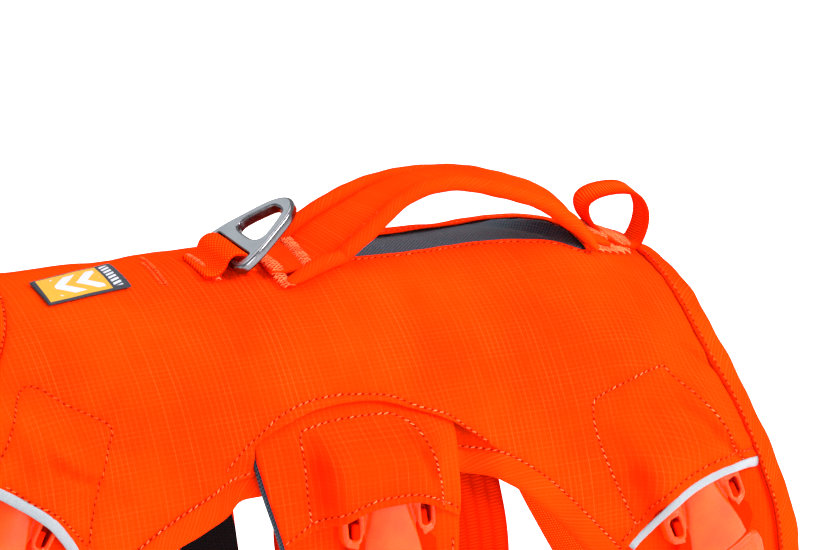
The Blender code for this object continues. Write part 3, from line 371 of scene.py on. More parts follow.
tail_c = even(smooth_line(TAIL_EDGE, 1.0), 2.0)
side_c = even(smooth_line(SIDE_EDGE, 1.0), 2.0)
neck_c = even(smooth_line(NECK_EDGE, 1.0), 2.0)
front_hem = np.array([pattern_of(FR["front"], u, v) for u, v in even(smooth_line(FRONT_HEM, 1.0), 2.0)])
rear_hem = np.array([pattern_of(FR["rear"], u, v) for u, v in even(smooth_line(REAR_HEM, 1.0), 2.0)])
fold_c = even(smooth_line(ARCH_FOLD, 1.0), 2.0)
slot_c = even(smooth_line(SLOT + SLOT[:1], 1.0), 2.0)[:-1]
LN = {k: even(smooth_line(v, 1.0), 2.0) for k, v in dict(front_pocket=FRONT_POCKET, front_hem=[pattern_of(FR["front"], u - 4.4, v) for u, v in FRONT_HEM], rear_pocket=REAR_POCKET, rear_hem=REAR_HEM_ST,
                                                       arch=ARCH_ST, girth_pocket=GIRTH_POCKET, flap_hem=FLAP_HEM_ST).items()}
ctr = slot_c.mean(axis=0)


def grow_loop(loop, d):
    nx = np.roll(loop, -1, axis=0) - np.roll(loop, 1, axis=0)
    nx /= np.linalg.norm(nx, axis=1, keepdims=True)
    n = np.stack([nx[:, 1], -nx[:, 0]], 1)
    area = 0.5*np.sum(loop[:, 0]*np.roll(loop[:, 1], -1) - np.roll(loop[:, 0], -1)*loop[:, 1])
    return loop + n*d*(1 if area > 0 else -1)


slot_st = grow_loop(slot_c, 2.6)
LN["slot_near"] = slot_st[slot_st[:, 1] > 0]
SHELL_SEAMS = [LN["front_pocket"], LN["front_hem"], LN["rear_pocket"], LN["rear_hem"], LN["arch"]]


def shell_relief(x, s):
    a = np.abs(s)
    out = seams_field(x, a, SHELL_SEAMS) + folds_field(x, a, SHELL_FOLDS)
    out += 0.30*wob(x, s, 46.0, 11) + 0.12*wob(x, s, 17.0, 12)
    d, _ = line_distance(x, s, np.vstack([slot_st, slot_st[:1]]))
    out -= 0.45*np.exp(-(d/1.2)**2)
    # the shell dips into the seam beside each binding
    for ln, k in ((tail_c, 5.6), (side_c, 5.6), (neck_c, 6.4)):
        d, at = line_distance(x, a, ln)
        out -= 0.7*np.exp(-((d - k)/1.6)**2)
        out += 0.20*np.exp(-((d - k - 4)/4.0)**2)*np.sin(at*2*math.pi/8.5 + 2*np.sin(at/11.0))
    return out


def flank(x, s, names):
    """how far each point lies on a pocket's rearward slope, 0 to 1: the mask for painted shade on the pocket side
    turned from the key light
    """
    p, _ = bare(x, np.abs(np.atleast_1d(s)))
    out = np.zeros(p.shape[:-1])
    for nm in names:
        f = FR[nm]
        u, v, h = f.uvh(p)
        sgn = -1.0 if nm != "rear" else 1.0
        q = v*sgn
        half = f.vm if nm != "rear" else f.vp
        mid = (19.5 + half)/2
        g = np.exp(-((q - mid)/5.0)**2)*ramp((u + f.depth*0.75)/20.0)*ramp((22 - u)/12.0)*(h > -45)
        out = np.maximum(out, g)
    return out


# painted shade for the shell: darker in fold valleys, on the pockets' rearward slopes, along the seams and in the ditch
# beside the tail and neck bindings, plus a little random tone
def shell_painted_shade(x, s):
    a = np.abs(s)
    f = folds_field(x, a, [r for r in SHELL_FOLDS if r[4] < 6])
    out = 0.36*np.clip(-f, 0, 2) + 0.30*flank(x, s, ("front", "rear"))
    for k, ln in enumerate(SHELL_SEAMS):
        d, at = line_distance(x, a, ln)
        out += 0.20*np.exp(-(d/1.5)**2) + 0.07*np.exp(-(d/4.0)**2)*(1 + np.sin(at*2*math.pi/7.3 + 2.1*np.sin(at/9.0 + k)))
    for ln, k in ((tail_c, 5.6), (neck_c, 6.4)):
        d, _ = line_distance(x, a, ln)
        out += 0.30*np.exp(-((d - k)/1.8)**2)
    return out + 0.05*wob(x, s, 30.0, 77)


# painted shade for the flap: darker in fold valleys, on the girth pocket's rearward slope, along its seams and under
# the arch fold, plus a little random tone
def flap_painted_shade(x, s):
    a = np.abs(s)
    f = folds_field(x, a, FLAP_FOLDS)
    out = 0.38*np.clip(-f, 0, 2) + 0.26*flank(x, s, ("girth",))
    for k, ln in enumerate((LN["girth_pocket"], LN["flap_hem"])):
        d, at = line_distance(x, a, ln)
        out += 0.20*np.exp(-(d/1.5)**2) + 0.07*np.exp(-(d/4.0)**2)*(1 + np.sin(at*2*math.pi/6.1 + 1.7*np.sin(at/7.0 + k)))
    # painted shadow of the arch fold on the flap
    d, _ = line_distance(x, a, fold_c)
    out += 0.45*np.exp(-(d/2.2)**2)
    return out + 0.05*wob(x, s, 22.0, 78)


def shell_off(x, s):
    a = np.abs(s)
    dip = np.where(x < -60, sink(x)*ramp((a - 97)/9), 0.0)*(UNDER_TAB - 0.4)
    return pocket(x, s, ("front", "rear")) + shell_relief(x, s) - dip


def flap_off(x, s):
    a = np.abs(s)
    r = seams_field(x, a, [LN["girth_pocket"], LN["flap_hem"]]) + folds_field(x, a, FLAP_FOLDS) + 0.18*wob(x, s, 24.0, 21)
    top = ramp((a - 84)/10)
    return TAB_OUT + pocket(x, s, ("girth",))*(POCKET_H + 0.9)/POCKET_H + r*top


def tab_off(x, s):
    return TAB_OUT - TAB_T - GAP + 0.12*wob(x, s, 20.0, 22)


def tablin_off(x, s):
    return TAB_OUT - 2*TAB_T - 2*GAP + 0*x


def base_off(x, s):
    return -SHELL_T - GAP - sink(x)*UNDER_TAB + 0.10*wob(x, s, 22.0, 31)


# ------------------------------------------------------------------ mesh building
MAT = {}


def mesh_object(name, verts, faces, mat, pat=None, tone=None, body=BODY, sharp=None, slot=None, face_mat=None, mats=None, shade=None):
    """verts in mm; pat is the weave's own coordinates in mm at each point; tone is 0 to 1 at each point; shade is the
    amount of painted shade, 0 to 1, at each point
    """
    me = bpy.data.meshes.new(name)
    me.from_pydata((np.asarray(verts)*MM).tolist(), [], [tuple(int(i) for i in f) for f in faces])
    me.polygons.foreach_set("use_smooth", np.ones(len(me.polygons), bool))
    if pat is not None:
        at = me.attributes.new("pat", "FLOAT_VECTOR", "POINT")
        p3 = np.zeros((len(verts), 3), np.float32)
        p3[:, :np.shape(pat)[1]] = pat
        at.data.foreach_set("vector", p3.ravel())
    if tone is not None:
        at = me.attributes.new("tone", "FLOAT", "POINT")
        at.data.foreach_set("value", np.asarray(tone, np.float32))
    if shade is not None:
        at = me.attributes.new("shade", "FLOAT", "POINT")
        at.data.foreach_set("value", np.clip(np.asarray(shade, np.float32), 0, 1))
    for m in (mats or [mat]):
        me.materials.append(MAT[m])
    if face_mat is not None:
        me.polygons.foreach_set("material_index", np.asarray(face_mat, np.int32))
    me.validate()
    me.update()
    if sharp is not None:
        key = {(e.vertices[0], e.vertices[1]) if e.vertices[0] < e.vertices[1] else (e.vertices[1], e.vertices[0]): e.index for e in me.edges}
        flag = np.zeros(len(me.edges), bool)
        for a, b in sharp:
            k = key.get((min(a, b), max(a, b)))
            if k is not None:
                flag[k] = True
        at = me.attributes.new("sharp_edge", "BOOLEAN", "EDGE")
        at.data.foreach_set("value", flag)
    ob = bpy.data.objects.new(name, me)
    bpy.context.scene.collection.objects.link(ob)
    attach(ob, body)
    if slot:
        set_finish(ob, slot)
    return ob


def mirror_object(ob, name, slot=None, body=BODY):
    me = ob.data.copy()
    me.name = name
    co = np.zeros(len(me.vertices)*3, np.float32)
    me.vertices.foreach_get("co", co)
    co = co.reshape(-1, 3)
    co[:, 1] *= -1
    me.vertices.foreach_set("co", co.ravel())
    me.flip_normals()
    me.update()
    o2 = bpy.data.objects.new(name, me)
    bpy.context.scene.collection.objects.link(o2)
    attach(o2, body)
    if slot or ob.get("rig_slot"):
        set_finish(o2, slot or ob["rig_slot"])
    return o2


def inside(poly, pts):
    x, y = pts[:, 0], pts[:, 1]
    c = np.zeros(len(pts), bool)
    n = len(poly)
    for i in range(n):
        (x0, y0), (x1, y1) = poly[i], poly[(i + 1) % n]
        c ^= ((y0 > y) != (y1 > y)) & (x < (x1 - x0)*(y - y0)/((y1 - y0) if y1 != y0 else 1e-9) + x0)
    return c


def edge_distance(poly, pts):
    loop = np.vstack([poly, poly[:1]])
    return line_distance(pts[:, 0], pts[:, 1], loop)[0]


def flat_mesh(outline, holes, step, extra):
    loops = [np.asarray(outline, float)] + [np.asarray(h, float) for h in holes]
    lo, hi = loops[0].min(0), loops[0].max(0)
    gx, gs = np.meshgrid(np.arange(lo[0], hi[0], step), np.arange(lo[1], hi[1], step), indexing="ij")
    gs = gs + step/2*(np.arange(gx.shape[0]) % 2)[:, None]
    gp = np.stack([gx.ravel(), gs.ravel()], 1)
    keep = inside(loops[0], gp)
    gp = gp[keep]
    for lp in loops:
        gp = gp[edge_distance(lp, gp) > 1.5]
    for h in loops[1:]:
        gp = gp[~inside(h, gp)]
    # a ring just inside every edge, which rounds the folded hem, and rows along the seams
    ex = []
    for i, lp in enumerate(loops):
        ex.append(grow_loop(lp, -0.75 if i == 0 else 0.75))
    for ln in extra:
        ln = np.asarray(ln)
        ex += [ln, inset(ln, 1.3), inset(ln, -1.3)]
    ex = np.vstack(ex)
    ok = inside(loops[0], ex)
    for h in loops[1:]:
        ok &= ~inside(h, ex)
    ex = ex[ok]
    for lp in loops:
        ex = ex[edge_distance(lp, ex) > 0.5]
    # thin out: no two extra points within 0.5 mm, no grid point within 0.9 mm of one
    cell = {}
    kept = []
    for q in ex:
        k = (int(q[0]//0.9), int(q[1]//0.9))
        if k in cell:
            continue
        cell[k] = 1
        kept.append(q)
    ex = np.array(kept)
    near = set()
    for q in ex:
        k0, k1 = int(q[0]//1.1), int(q[1]//1.1)
        near.add((k0, k1))
    gk = [(int(a//1.1), int(b//1.1)) for a, b in gp]
    gp = gp[[k not in near for k in gk]]
    verts, edges = [], []
    for lp in loops:
        k = len(verts)
        verts += [tuple(q) for q in lp]
        edges += [(k + i, k + (i + 1) % len(lp)) for i in range(len(lp))]
    nb = len(verts)
    verts += [tuple(q) for q in ex] + [tuple(q) for q in gp]
    rv, _, rf, *_ = delaunay_2d_cdt([Vector(v) for v in verts], edges, [], 0, 1e-5)
    rv = np.array([(v[0], v[1]) for v in rv])
    tri = np.array([f for f in rf if len(f) == 3])
    c = rv[tri].mean(axis=1)
    ok = inside(loops[0], c)
    for h in loops[1:]:
        ok &= ~inside(h, c)
    return rv, tri[ok]


CUT_AREA = {}


def cut_area(rv, tri):
    """area of the flat pattern piece, m2, before it goes onto the form"""
    p = np.asarray(rv, float)[:, :2]
    a, b, c = p[tri[:, 0]], p[tri[:, 1]], p[tri[:, 2]]
    return float(np.abs((b - a)[:, 0]*(c - a)[:, 1] - (b - a)[:, 1]*(c - a)[:, 0]).sum()/2*MM*MM)


def panel(name, outline, out_fn, thick, mat, step=2.2, holes=(), extra=(), point=surf, pat_fn=None, slot=None, body=BODY, rim=0.4, shade_fn=None, **kw):
    rv, tri = flat_mesh(outline, holes, step, extra)
    x, s = rv[:, 0], rv[:, 1]
    CUT_AREA[name] = cut_area(rv, tri)
    top_off = out_fn(x, s)
    cnt = {}
    for t in tri.tolist():
        for a, b in ((t[0], t[1]), (t[1], t[2]), (t[2], t[0])):
            cnt[(a, b)] = 1
    edge = [(a, b) for (a, b) in cnt if (b, a) not in cnt]
    onrim = np.zeros(len(rv), bool)
    for a, b in edge:
        onrim[a] = onrim[b] = True
    th = thick
    top = point(x, s, top_off - rim*onrim)
    bot = point(x, s, top_off - th + min(rim, 0.3)*onrim)
    n = len(rv)
    a, b, c = (top[tri[:, k]] for k in range(3))
    nr = np.cross(b - a, c - a)
    sign = np.sum(np.einsum("ij,ij->i", nr, (top - bot)[tri[:, 0]]))
    if sign < 0:
        tri = tri[:, ::-1]
        edge = [(b, a) for a, b in edge]
    faces = tri.tolist() + (tri[:, ::-1] + n).tolist() + [(b, a, a + n, b + n) for a, b in edge]
    pt = np.stack([x, s], 1) if pat_fn is None else pat_fn(x, s)
    # the painted shade at each point, when the piece has it
    if shade_fn is not None:
        sh = shade_fn(x, s)
        kw["shade"] = np.concatenate([sh, sh])
    ob = mesh_object(name, np.vstack([top, bot]), faces, mat, pat=np.vstack([pt, pt]), slot=slot, body=body,
                     sharp=[(a + n, b + n) for a, b in edge], **kw)
    ob["area"] = float(np.linalg.norm(nr, axis=1).sum()/2*1e-6)
    return ob


def tube(name, centres, across, up, profile, mat, slot=None, closed=False, pat_scale=None, tone=None, body=BODY, caps=True, sharp_corners=(), **kw):
    """profile rows (a, h), one list or one per station, set along across and up; pat is (length along, length round)"""
    c, ac, upv = (np.asarray(k, float) for k in (centres, across, up))
    many = np.ndim(profile[0][0]) > 0
    prof = np.asarray(profile, float) if many else np.repeat(np.asarray(profile, float)[None], len(c), 0)
    k = prof.shape[1]
    v = c[:, None, :] + ac[:, None, :]*prof[:, :, :1] + upv[:, None, :]*prof[:, :, 1:2]
    run = np.concatenate([[0], np.cumsum(np.linalg.norm(np.diff(c, axis=0), axis=1))])
    pr = prof[len(c)//2]
    rnd = np.concatenate([[0], np.cumsum(np.linalg.norm(np.diff(pr, axis=0), axis=1))])
    pat = np.stack([np.repeat(run[:, None], k, 1), np.repeat(rnd[None], len(c), 0)], -1).reshape(-1, 2)
    last = len(c) if closed else len(c) - 1
    faces = []
    for i in range(last):
        j = (i + 1) % len(c)
        for m in range(k):
            q = (m + 1) % k
            faces.append((i*k + m, i*k + q, j*k + q, j*k + m))
    if not closed and caps:
        faces.append(tuple(range(k))[::-1])
        faces.append(tuple((len(c) - 1)*k + m for m in range(k)))
    v = v.reshape(-1, 3)
    # the signed volume is summed but not used; orientation comes from the first face's normal against the first
    # station's centre
    vol = 0.0
    for f in faces[::7]:
        vol += float(np.dot(v[f[0]] - c.mean(0), np.cross(v[f[1]] - c.mean(0), v[f[2]] - c.mean(0))))
    a0 = v[:k] - c[0]
    nrm = np.cross(v[(1 % k)] - v[0], v[k] - v[0])
    if np.dot(nrm, v[0] - v[:k].mean(0)) < 0:
        faces = [f[::-1] for f in faces]
    sharp = []
    for m in sharp_corners:
        sharp += [(i*k + m, ((i + 1) % len(c))*k + m) for i in range(last)]
    return mesh_object(name, v, faces, mat, pat=pat, tone=None if tone is None else np.repeat(tone, k), slot=slot, body=body, sharp=sharp or None, **kw)


def normals_on(line):
    p0, p1 = surf(line[:, 0], line[:, 1], 0.0), surf(line[:, 0], line[:, 1], 2.0)
    n = p1 - p0
    return n/np.linalg.norm(n, axis=1, keepdims=True)


def unit(v):
    return v/np.linalg.norm(v, axis=-1, keepdims=True)


# ------------------------------------------------------------------ materials
class Graph:
    def __init__(self, name, rough=0.7, metal=0.0, color=(0.8, 0.8, 0.8), spec=0.35, sheen=0.0, sheen_tint=(1, 1, 1), sheen_rough=0.4, coat=0.0):
        m = bpy.data.materials.new(name)
        m.use_nodes = True
        self.t = m.node_tree
        self.b = next(n for n in self.t.nodes if n.type == "BSDF_PRINCIPLED")
        self.b.inputs["Base Color"].default_value = (*color, 1)
        self.b.inputs["Roughness"].default_value = rough
        self.b.inputs["Metallic"].default_value = metal
        self.b.inputs["Specular IOR Level"].default_value = spec
        self.b.inputs["Sheen Weight"].default_value = sheen
        self.b.inputs["Sheen Tint"].default_value = (*sheen_tint, 1)
        self.b.inputs["Sheen Roughness"].default_value = sheen_rough
        self.b.inputs["Coat Weight"].default_value = coat
        MAT[name] = m

    def put(self, sock, v):
        if isinstance(v, bpy.types.NodeSocket):
            self.t.links.new(v, sock)
        else:
            sock.default_value = v

    def m(self, op, a, b=0.0, c=0.0, clamp=False):
        n = self.t.nodes.new("ShaderNodeMath")
        n.operation, n.use_clamp = op, clamp
        for i, v in enumerate((a, b, c)):
            self.put(n.inputs[i], v)
        return n.outputs[0]

    def pat(self, name="pat"):
        n = self.t.nodes.new("ShaderNodeAttribute")
        n.attribute_name = name
        s = self.t.nodes.new("ShaderNodeSeparateXYZ")
        self.t.links.new(n.outputs["Vector"], s.inputs[0])
        return n.outputs["Vector"], s.outputs[0], s.outputs[1]

    def fac(self, name):
        n = self.t.nodes.new("ShaderNodeAttribute")
        n.attribute_name = name
        return n.outputs["Fac"]

    def place(self):
        n = self.t.nodes.new("ShaderNodeNewGeometry")
        return n.outputs["Position"]

    def noise(self, vec, scale, detail=2.0, rough=0.5, dim="3D"):
        n = self.t.nodes.new("ShaderNodeTexNoise")
        n.noise_dimensions = dim
        self.put(n.inputs["Vector"], vec)
        n.inputs["Scale"].default_value = scale
        n.inputs["Detail"].default_value = detail
        n.inputs["Roughness"].default_value = rough
        return n.outputs["Fac"]

    def pulse(self, v, pitch, width, shift=0.0, soft=0.5):
        """1 on a line of that width every pitch, both in mm, 0 between"""
        t = self.m("FRACT", self.m("ADD", self.m("DIVIDE", v, pitch), shift + 0.5))
        d = self.m("MULTIPLY", self.m("ABSOLUTE", self.m("SUBTRACT", t, 0.5)), pitch)
        r = self.t.nodes.new("ShaderNodeMapRange")
        r.interpolation_type = "SMOOTHSTEP"
        self.put(r.inputs[0], d)
        r.inputs[1].default_value = width/2*(1 + soft)
        r.inputs[2].default_value = width/2*(1 - soft)
        return r.outputs[0]

    def every(self, v, pitch, lo, hi):
        """one random value from lo to hi for each line"""
        n = self.t.nodes.new("ShaderNodeTexWhiteNoise")
        n.noise_dimensions = "1D"
        self.put(n.inputs["W"], self.m("FLOOR", self.m("ADD", self.m("DIVIDE", v, pitch), 0.5)))
        return self.remap(n.outputs["Value"], 0.0, 1.0, lo, hi)

    def remap(self, v, a, b, c, d):
        r = self.t.nodes.new("ShaderNodeMapRange")
        self.put(r.inputs[0], v)
        for i, k in enumerate((a, b, c, d)):
            r.inputs[i + 1].default_value = k
        return r.outputs[0]

    def mix(self, f, a, b):
        n = self.t.nodes.new("ShaderNodeMix")
        n.data_type = "RGBA"
        self.put(n.inputs[0], f)
        for sock, v in ((n.inputs[6], a), (n.inputs[7], b)):
            self.put(sock, (*v, 1) if isinstance(v, tuple) and len(v) == 3 else v)
        return n.outputs[2]

    def bump(self, h, dist, strength=1.0, over=None):
        n = self.t.nodes.new("ShaderNodeBump")
        n.inputs["Strength"].default_value = strength
        n.inputs["Distance"].default_value = dist
        self.put(n.inputs["Height"], h)
        if over is not None:
            self.put(n.inputs["Normal"], over)
        return n.outputs[0]

    def color(self, v):
        self.put(self.b.inputs["Base Color"], v)

    def rough(self, v):
        self.put(self.b.inputs["Roughness"], v)

    def normal(self, v):
        self.put(self.b.inputs["Normal"], v)


ORANGE, ORANGE_D, ORANGE_L = (0.92, 0.034, 0.0003), (0.90, 0.0215, 0.0002), (0.94, 0.088, 0.010)


def ripstop(name, turn=0.0, base=ORANGE, deep=ORANGE_D, light=ORANGE_L, line=2.5, row=1.95, strength=1.0, rough=0.62, sheen=0.0, tint=(1.0, 0.12, 0.0), weft_w=0.50):
    """plain weave with heavier threads each way: lines along s, dotted rows along x"""
    g = Graph(name, rough=rough, spec=0.0, sheen=sheen, sheen_tint=tint)
    vec, x, y = g.pat()
    shade = g.fac("shade")
    if turn:
        c, s = math.cos(turn), math.sin(turn)
        x, y = g.m("ADD", g.m("MULTIPLY", x, c), g.m("MULTIPLY", y, -s)), g.m("ADD", g.m("MULTIPLY", x, s), g.m("MULTIPLY", y, c))
    pos = g.place()
    drift = g.noise(pos, 28.0, 2.0)
    x = g.m("ADD", x, g.m("MULTIPLY", g.m("SUBTRACT", drift, 0.5), 0.9))
    y = g.m("ADD", y, g.m("MULTIPLY", g.m("SUBTRACT", g.noise(pos, 33.0, 2.0), 0.5), 0.9))
    warp = g.m("MULTIPLY", g.pulse(x, line, 0.55, soft=0.7), g.every(x, line, 0.25, 1.0))
    dots = g.pulse(x, 0.95, 0.50, soft=0.8)
    weft = g.m("MULTIPLY", g.m("MULTIPLY", g.pulse(y, row, 0.50, soft=0.7), g.m("ADD", g.m("MULTIPLY", dots, 0.80), 0.10)), g.every(y, row, 0.3, 1.0))
    fine_x, fine_y = g.pulse(x, 0.62, 0.42, soft=0.9), g.pulse(y, 0.62, 0.42, shift=0.5, soft=0.9)
    fine = g.m("MULTIPLY", g.m("ADD", fine_x, fine_y), 0.5)
    patch = g.remap(g.noise(pos, 55.0, 3.0), 0.3, 0.7, 0.35, 1.0)
    speck = g.remap(g.noise(vec, 1.9, 2.0), 0.35, 0.65, 0.55, 1.15)
    threads = g.m("MULTIPLY", g.m("MULTIPLY", g.m("ADD", g.m("MULTIPLY", warp, 0.48), g.m("MULTIPLY", weft, weft_w)), patch), speck)
    big = g.remap(g.noise(pos, 16.0, 3.0), 0.38, 0.64, 0.0, 1.0)
    col = g.mix(big, deep, base)
    col = g.mix(g.m("MULTIPLY", g.m("SUBTRACT", 1.0, fine), 0.28), col, tuple(k*0.62 for k in deep))
    col = g.mix(g.m("MULTIPLY", threads, 0.80*strength, clamp=True), col, light)
    # painted shade: the colour goes towards deep red where the shade attribute is high
    col = g.mix(g.m("MULTIPLY", shade, 0.85, clamp=True), col, (0.80, 0.0105, 0.0001))
    g.color(col)
    g.rough(g.remap(threads, 0.0, 1.0, rough, rough - 0.14))
    h = g.m("ADD", g.m("MULTIPLY", fine, 0.35), g.m("ADD", g.m("MULTIPLY", warp, 0.8), g.m("MULTIPLY", weft, 0.7)))
    g.normal(g.bump(h, 0.00011, 0.85))
    return g


def webbing(name, base=(0.92, 0.042, 0.0003), deep=(0.66, 0.0075, 0.0001), light=(0.94, 0.105, 0.010), rib=1.30, col_w=1.25, rough=0.6, amp=0.00024):
    g = Graph(name, rough=rough, spec=0.0)
    vec, x, y = g.pat()
    pos = g.place()
    x = g.m("ADD", x, g.m("MULTIPLY", g.m("SUBTRACT", g.noise(pos, 60.0, 2.0), 0.5), 0.7))
    half = g.m("MULTIPLY", g.m("FLOOR", g.m("DIVIDE", y, col_w)), 0.5)
    t = g.m("FRACT", g.m("ADD", g.m("DIVIDE", x, rib), half))
    ridge = g.m("SINE", g.m("MULTIPLY", t, math.pi))
    cr = g.m("SINE", g.m("MULTIPLY", g.m("FRACT", g.m("DIVIDE", y, col_w)), math.pi))
    h = g.m("MULTIPLY", g.m("POWER", ridge, 0.7), g.m("ADD", g.m("MULTIPLY", g.m("POWER", cr, 0.5), 0.8), 0.2))
    speck = g.remap(g.noise(vec, 2.6, 2.0), 0.3, 0.7, -0.12, 0.12)
    # painted shade in the rib valleys and painted highlight on the rib crowns, following the rib height, with random
    # speckle
    col = g.mix(g.m("ADD", g.remap(h, 0.15, 0.85, 0.0, 1.0), speck, clamp=True), deep, base)
    col = g.mix(g.m("MULTIPLY", g.remap(h, 0.75, 1.0, 0.0, 1.0), 0.40), col, light)
    g.color(col)
    g.normal(g.bump(h, amp, 0.9))
    return g


def thread(name, light=(0.96, 0.215, 0.075), deep=(0.92, 0.042, 0.002)):
    g = Graph(name, rough=0.5, spec=0.04, sheen=0.0)
    vec, x, y = g.pat()
    tone = g.fac("tone")
    ply = g.pulse(g.m("ADD", x, g.m("MULTIPLY", y, 0.8)), 0.34, 0.2, soft=0.9)
    col = g.mix(tone, deep, light)
    col = g.mix(g.m("MULTIPLY", g.m("SUBTRACT", 1.0, ply), 0.35), col, deep)
    g.color(col)
    g.normal(g.bump(ply, 0.00006, 0.8))
    return g


ripstop("shell_ripstop")
ripstop("bias_ripstop", turn=math.radians(-50), strength=1.0, line=1.5, row=2.4, weft_w=0.10)
ripstop("strip_ripstop", turn=math.radians(-16), strength=0.85, line=1.45, row=2.4, weft_w=0.0)
# a darker copy of the ripstop: painted shade for the base layers and the tab, which lie under the shell and the flap
ripstop("shade_ripstop", base=(0.88, 0.028, 0.0003), deep=(0.84, 0.018, 0.0002), light=(0.92, 0.075, 0.006), strength=0.8)
webbing("web_orange")
webbing("web_loop", rib=1.15, col_w=14.5, amp=0.00035)
# a darker copy of the orange webbing: painted shade for the load strap, which lies inside under the arch
webbing("web_load", base=(0.50, 0.0105, 0.0001), deep=(0.34, 0.004, 0.0001), light=(0.58, 0.018, 0.0006), rib=1.4, col_w=6.0, amp=0.00012)
thread("thread")
thread("thread_low", light=(0.94, 0.110, 0.018), deep=(0.90, 0.026, 0.0006))
# small dark discs laid just over the cloth: painted shade inside the needle holes
g = Graph("needle_hole", rough=1.0, color=(0.42, 0.006, 0.0005), spec=0.0)
g.color(g.mix(g.noise(g.place(), 900.0), (0.17, 0.003, 0.0001), (0.34, 0.006, 0.0001)))

g = Graph("seam_shadow", rough=1.0, spec=0.0)
g.color(g.mix(g.noise(g.place(), 300.0), (0.24, 0.0045, 0.0001), (0.44, 0.009, 0.0001)))

g = Graph("lining_grey", rough=0.75, spec=0.3, sheen=0.1)
vec, x, y = g.pat()
xr = g.m("ADD", g.m("MULTIPLY", x, 0.72), g.m("MULTIPLY", y, 0.70))
yr = g.m("SUBTRACT", g.m("MULTIPLY", y, 0.72), g.m("MULTIPLY", x, 0.70))
a, b = g.pulse(xr, 1.30, 0.46, soft=0.6), g.pulse(yr, 1.10, 0.36, soft=0.6)
h = g.m("MAXIMUM", a, g.m("MULTIPLY", b, 0.8))
sp = g.remap(g.noise(vec, 2.2, 3.0), 0.3, 0.7, 0.0, 1.0)
col = g.mix(g.m("MULTIPLY", h, g.m("ADD", g.m("MULTIPLY", sp, 0.6), 0.4)), (0.0030, 0.0065, 0.0120), (0.046, 0.092, 0.138))
g.color(col)
g.normal(g.bump(h, 0.00014, 0.8))

g = Graph("lining_black", rough=0.9, spec=0.03, sheen=0.0)
vec, x, y = g.pat()
h = g.m("MAXIMUM", g.pulse(x, 1.3, 0.6, soft=0.8), g.pulse(y, 1.5, 0.6, soft=0.8))
g.color(g.mix(h, (0.0035, 0.0025, 0.003), (0.008, 0.006, 0.007)))
g.normal(g.bump(h, 0.0002, 0.7))

g = Graph("piping_tape", rough=0.42, metal=0.0, spec=0.15)
vec, x, y = g.pat()
pos = g.place()
f = g.noise(pos, 1500.0, 2.0)
col = g.mix(g.remap(f, 0.3, 0.7, 0.0, 1.0), (0.205, 0.222, 0.242), (0.245, 0.262, 0.282))
g.color(g.mix(g.m("MULTIPLY", g.pulse(x, 1.6, 0.3, soft=0.9), 0.10), col, (0.26, 0.275, 0.30)))
g.rough(g.remap(f, 0.3, 0.7, 0.30, 0.44))
g.normal(g.bump(g.m("ADD", f, g.pulse(x, 1.6, 0.5, soft=0.9)), 0.00003, 0.6))

g = Graph("buckle_plastic", rough=0.24, spec=0.20, coat=0.0)
g.b.inputs["Subsurface Weight"].default_value = 0.0
pos = g.place()
f = g.noise(pos, 2600.0, 2.0)
big = g.noise(pos, 90.0, 2.0)
col = g.mix(g.remap(big, 0.35, 0.65, 0.0, 1.0), (0.92, 0.036, 0.0003), (0.94, 0.052, 0.0005))
g.color(col)
g.rough(g.remap(f, 0.3, 0.7, 0.23, 0.32))
g.normal(g.bump(f, 0.000022, 0.7))

# the prongs in a deeper red than the buckle's orange: painted shade, as they sit inside the windows
g = Graph("prong_plastic", rough=0.5, spec=0.0)
g.color(g.mix(g.noise(g.place(), 500.0), (0.80, 0.008, 0.0001), (0.88, 0.013, 0.0002)))
# deep red for the buckle window walls: painted shade inside the windows
g = Graph("buckle_hollow", rough=0.5, spec=0.3, color=(0.45, 0.004, 0.0005))
g.color(g.mix(g.noise(g.place(), 400.0), (0.40, 0.003, 0.0003), (0.55, 0.006, 0.0006)))

g = Graph("ring_face", rough=0.36, metal=1.0)
pos = g.place()
f = g.noise(pos, 3200.0, 3.0)
big = g.noise(pos, 120.0, 2.0)
g.color(g.mix(g.remap(big, 0.3, 0.7, 0.0, 1.0), (0.33, 0.362, 0.395), (0.37, 0.405, 0.44)))
g.rough(g.remap(f, 0.3, 0.7, 0.34, 0.46))
g.normal(g.bump(f, 0.000015, 0.6))
# the bevel and the hole walls are the face's metal coloured darker: painted shade and painted dark reflection
g = Graph("ring_bevel", rough=0.16, metal=1.0)
f = g.noise(g.place(), 700.0, 2.0)
g.color(g.mix(f, (0.085, 0.082, 0.092), (0.17, 0.168, 0.18)))
g.rough(g.remap(f, 0.3, 0.7, 0.12, 0.20))
g = Graph("ring_wall", rough=0.3, metal=1.0)
f = g.noise(g.place(), 500.0, 2.0)
g.color(g.mix(f, (0.030, 0.022, 0.026), (0.075, 0.06, 0.066)))
g.rough(g.remap(f, 0.3, 0.7, 0.22, 0.36))

# woven patch: dark edge, amber field, pale chevrons and a dark end with pale bars
g = Graph("label_patch", rough=0.7, spec=0.3, sheen=0.05)
vec, x, y = g.pat()
x0, x1, s0, s1 = LABEL
lx, ly = g.m("DIVIDE", g.m("SUBTRACT", x, x0), x1 - x0), g.m("DIVIDE", g.m("SUBTRACT", y, s0), s1 - s0)
edge_l = g.remap(lx, 0.050, 0.056, 1.0, 0.0)
edge_s = g.m("MAXIMUM", g.remap(ly, 0.045, 0.052, 1.0, 0.0), g.remap(ly, 0.948, 0.955, 0.0, 1.0))
end = g.remap(lx, 0.790, 0.796, 0.0, 1.0)
endbar = g.m("MULTIPLY", g.m("MULTIPLY", g.remap(lx, 0.826, 0.832, 0.0, 1.0), g.remap(lx, 0.930, 0.936, 1.0, 0.0)),
             g.m("MULTIPLY", g.remap(ly, 0.09, 0.10, 0.0, 1.0), g.remap(ly, 0.90, 0.91, 1.0, 0.0)))
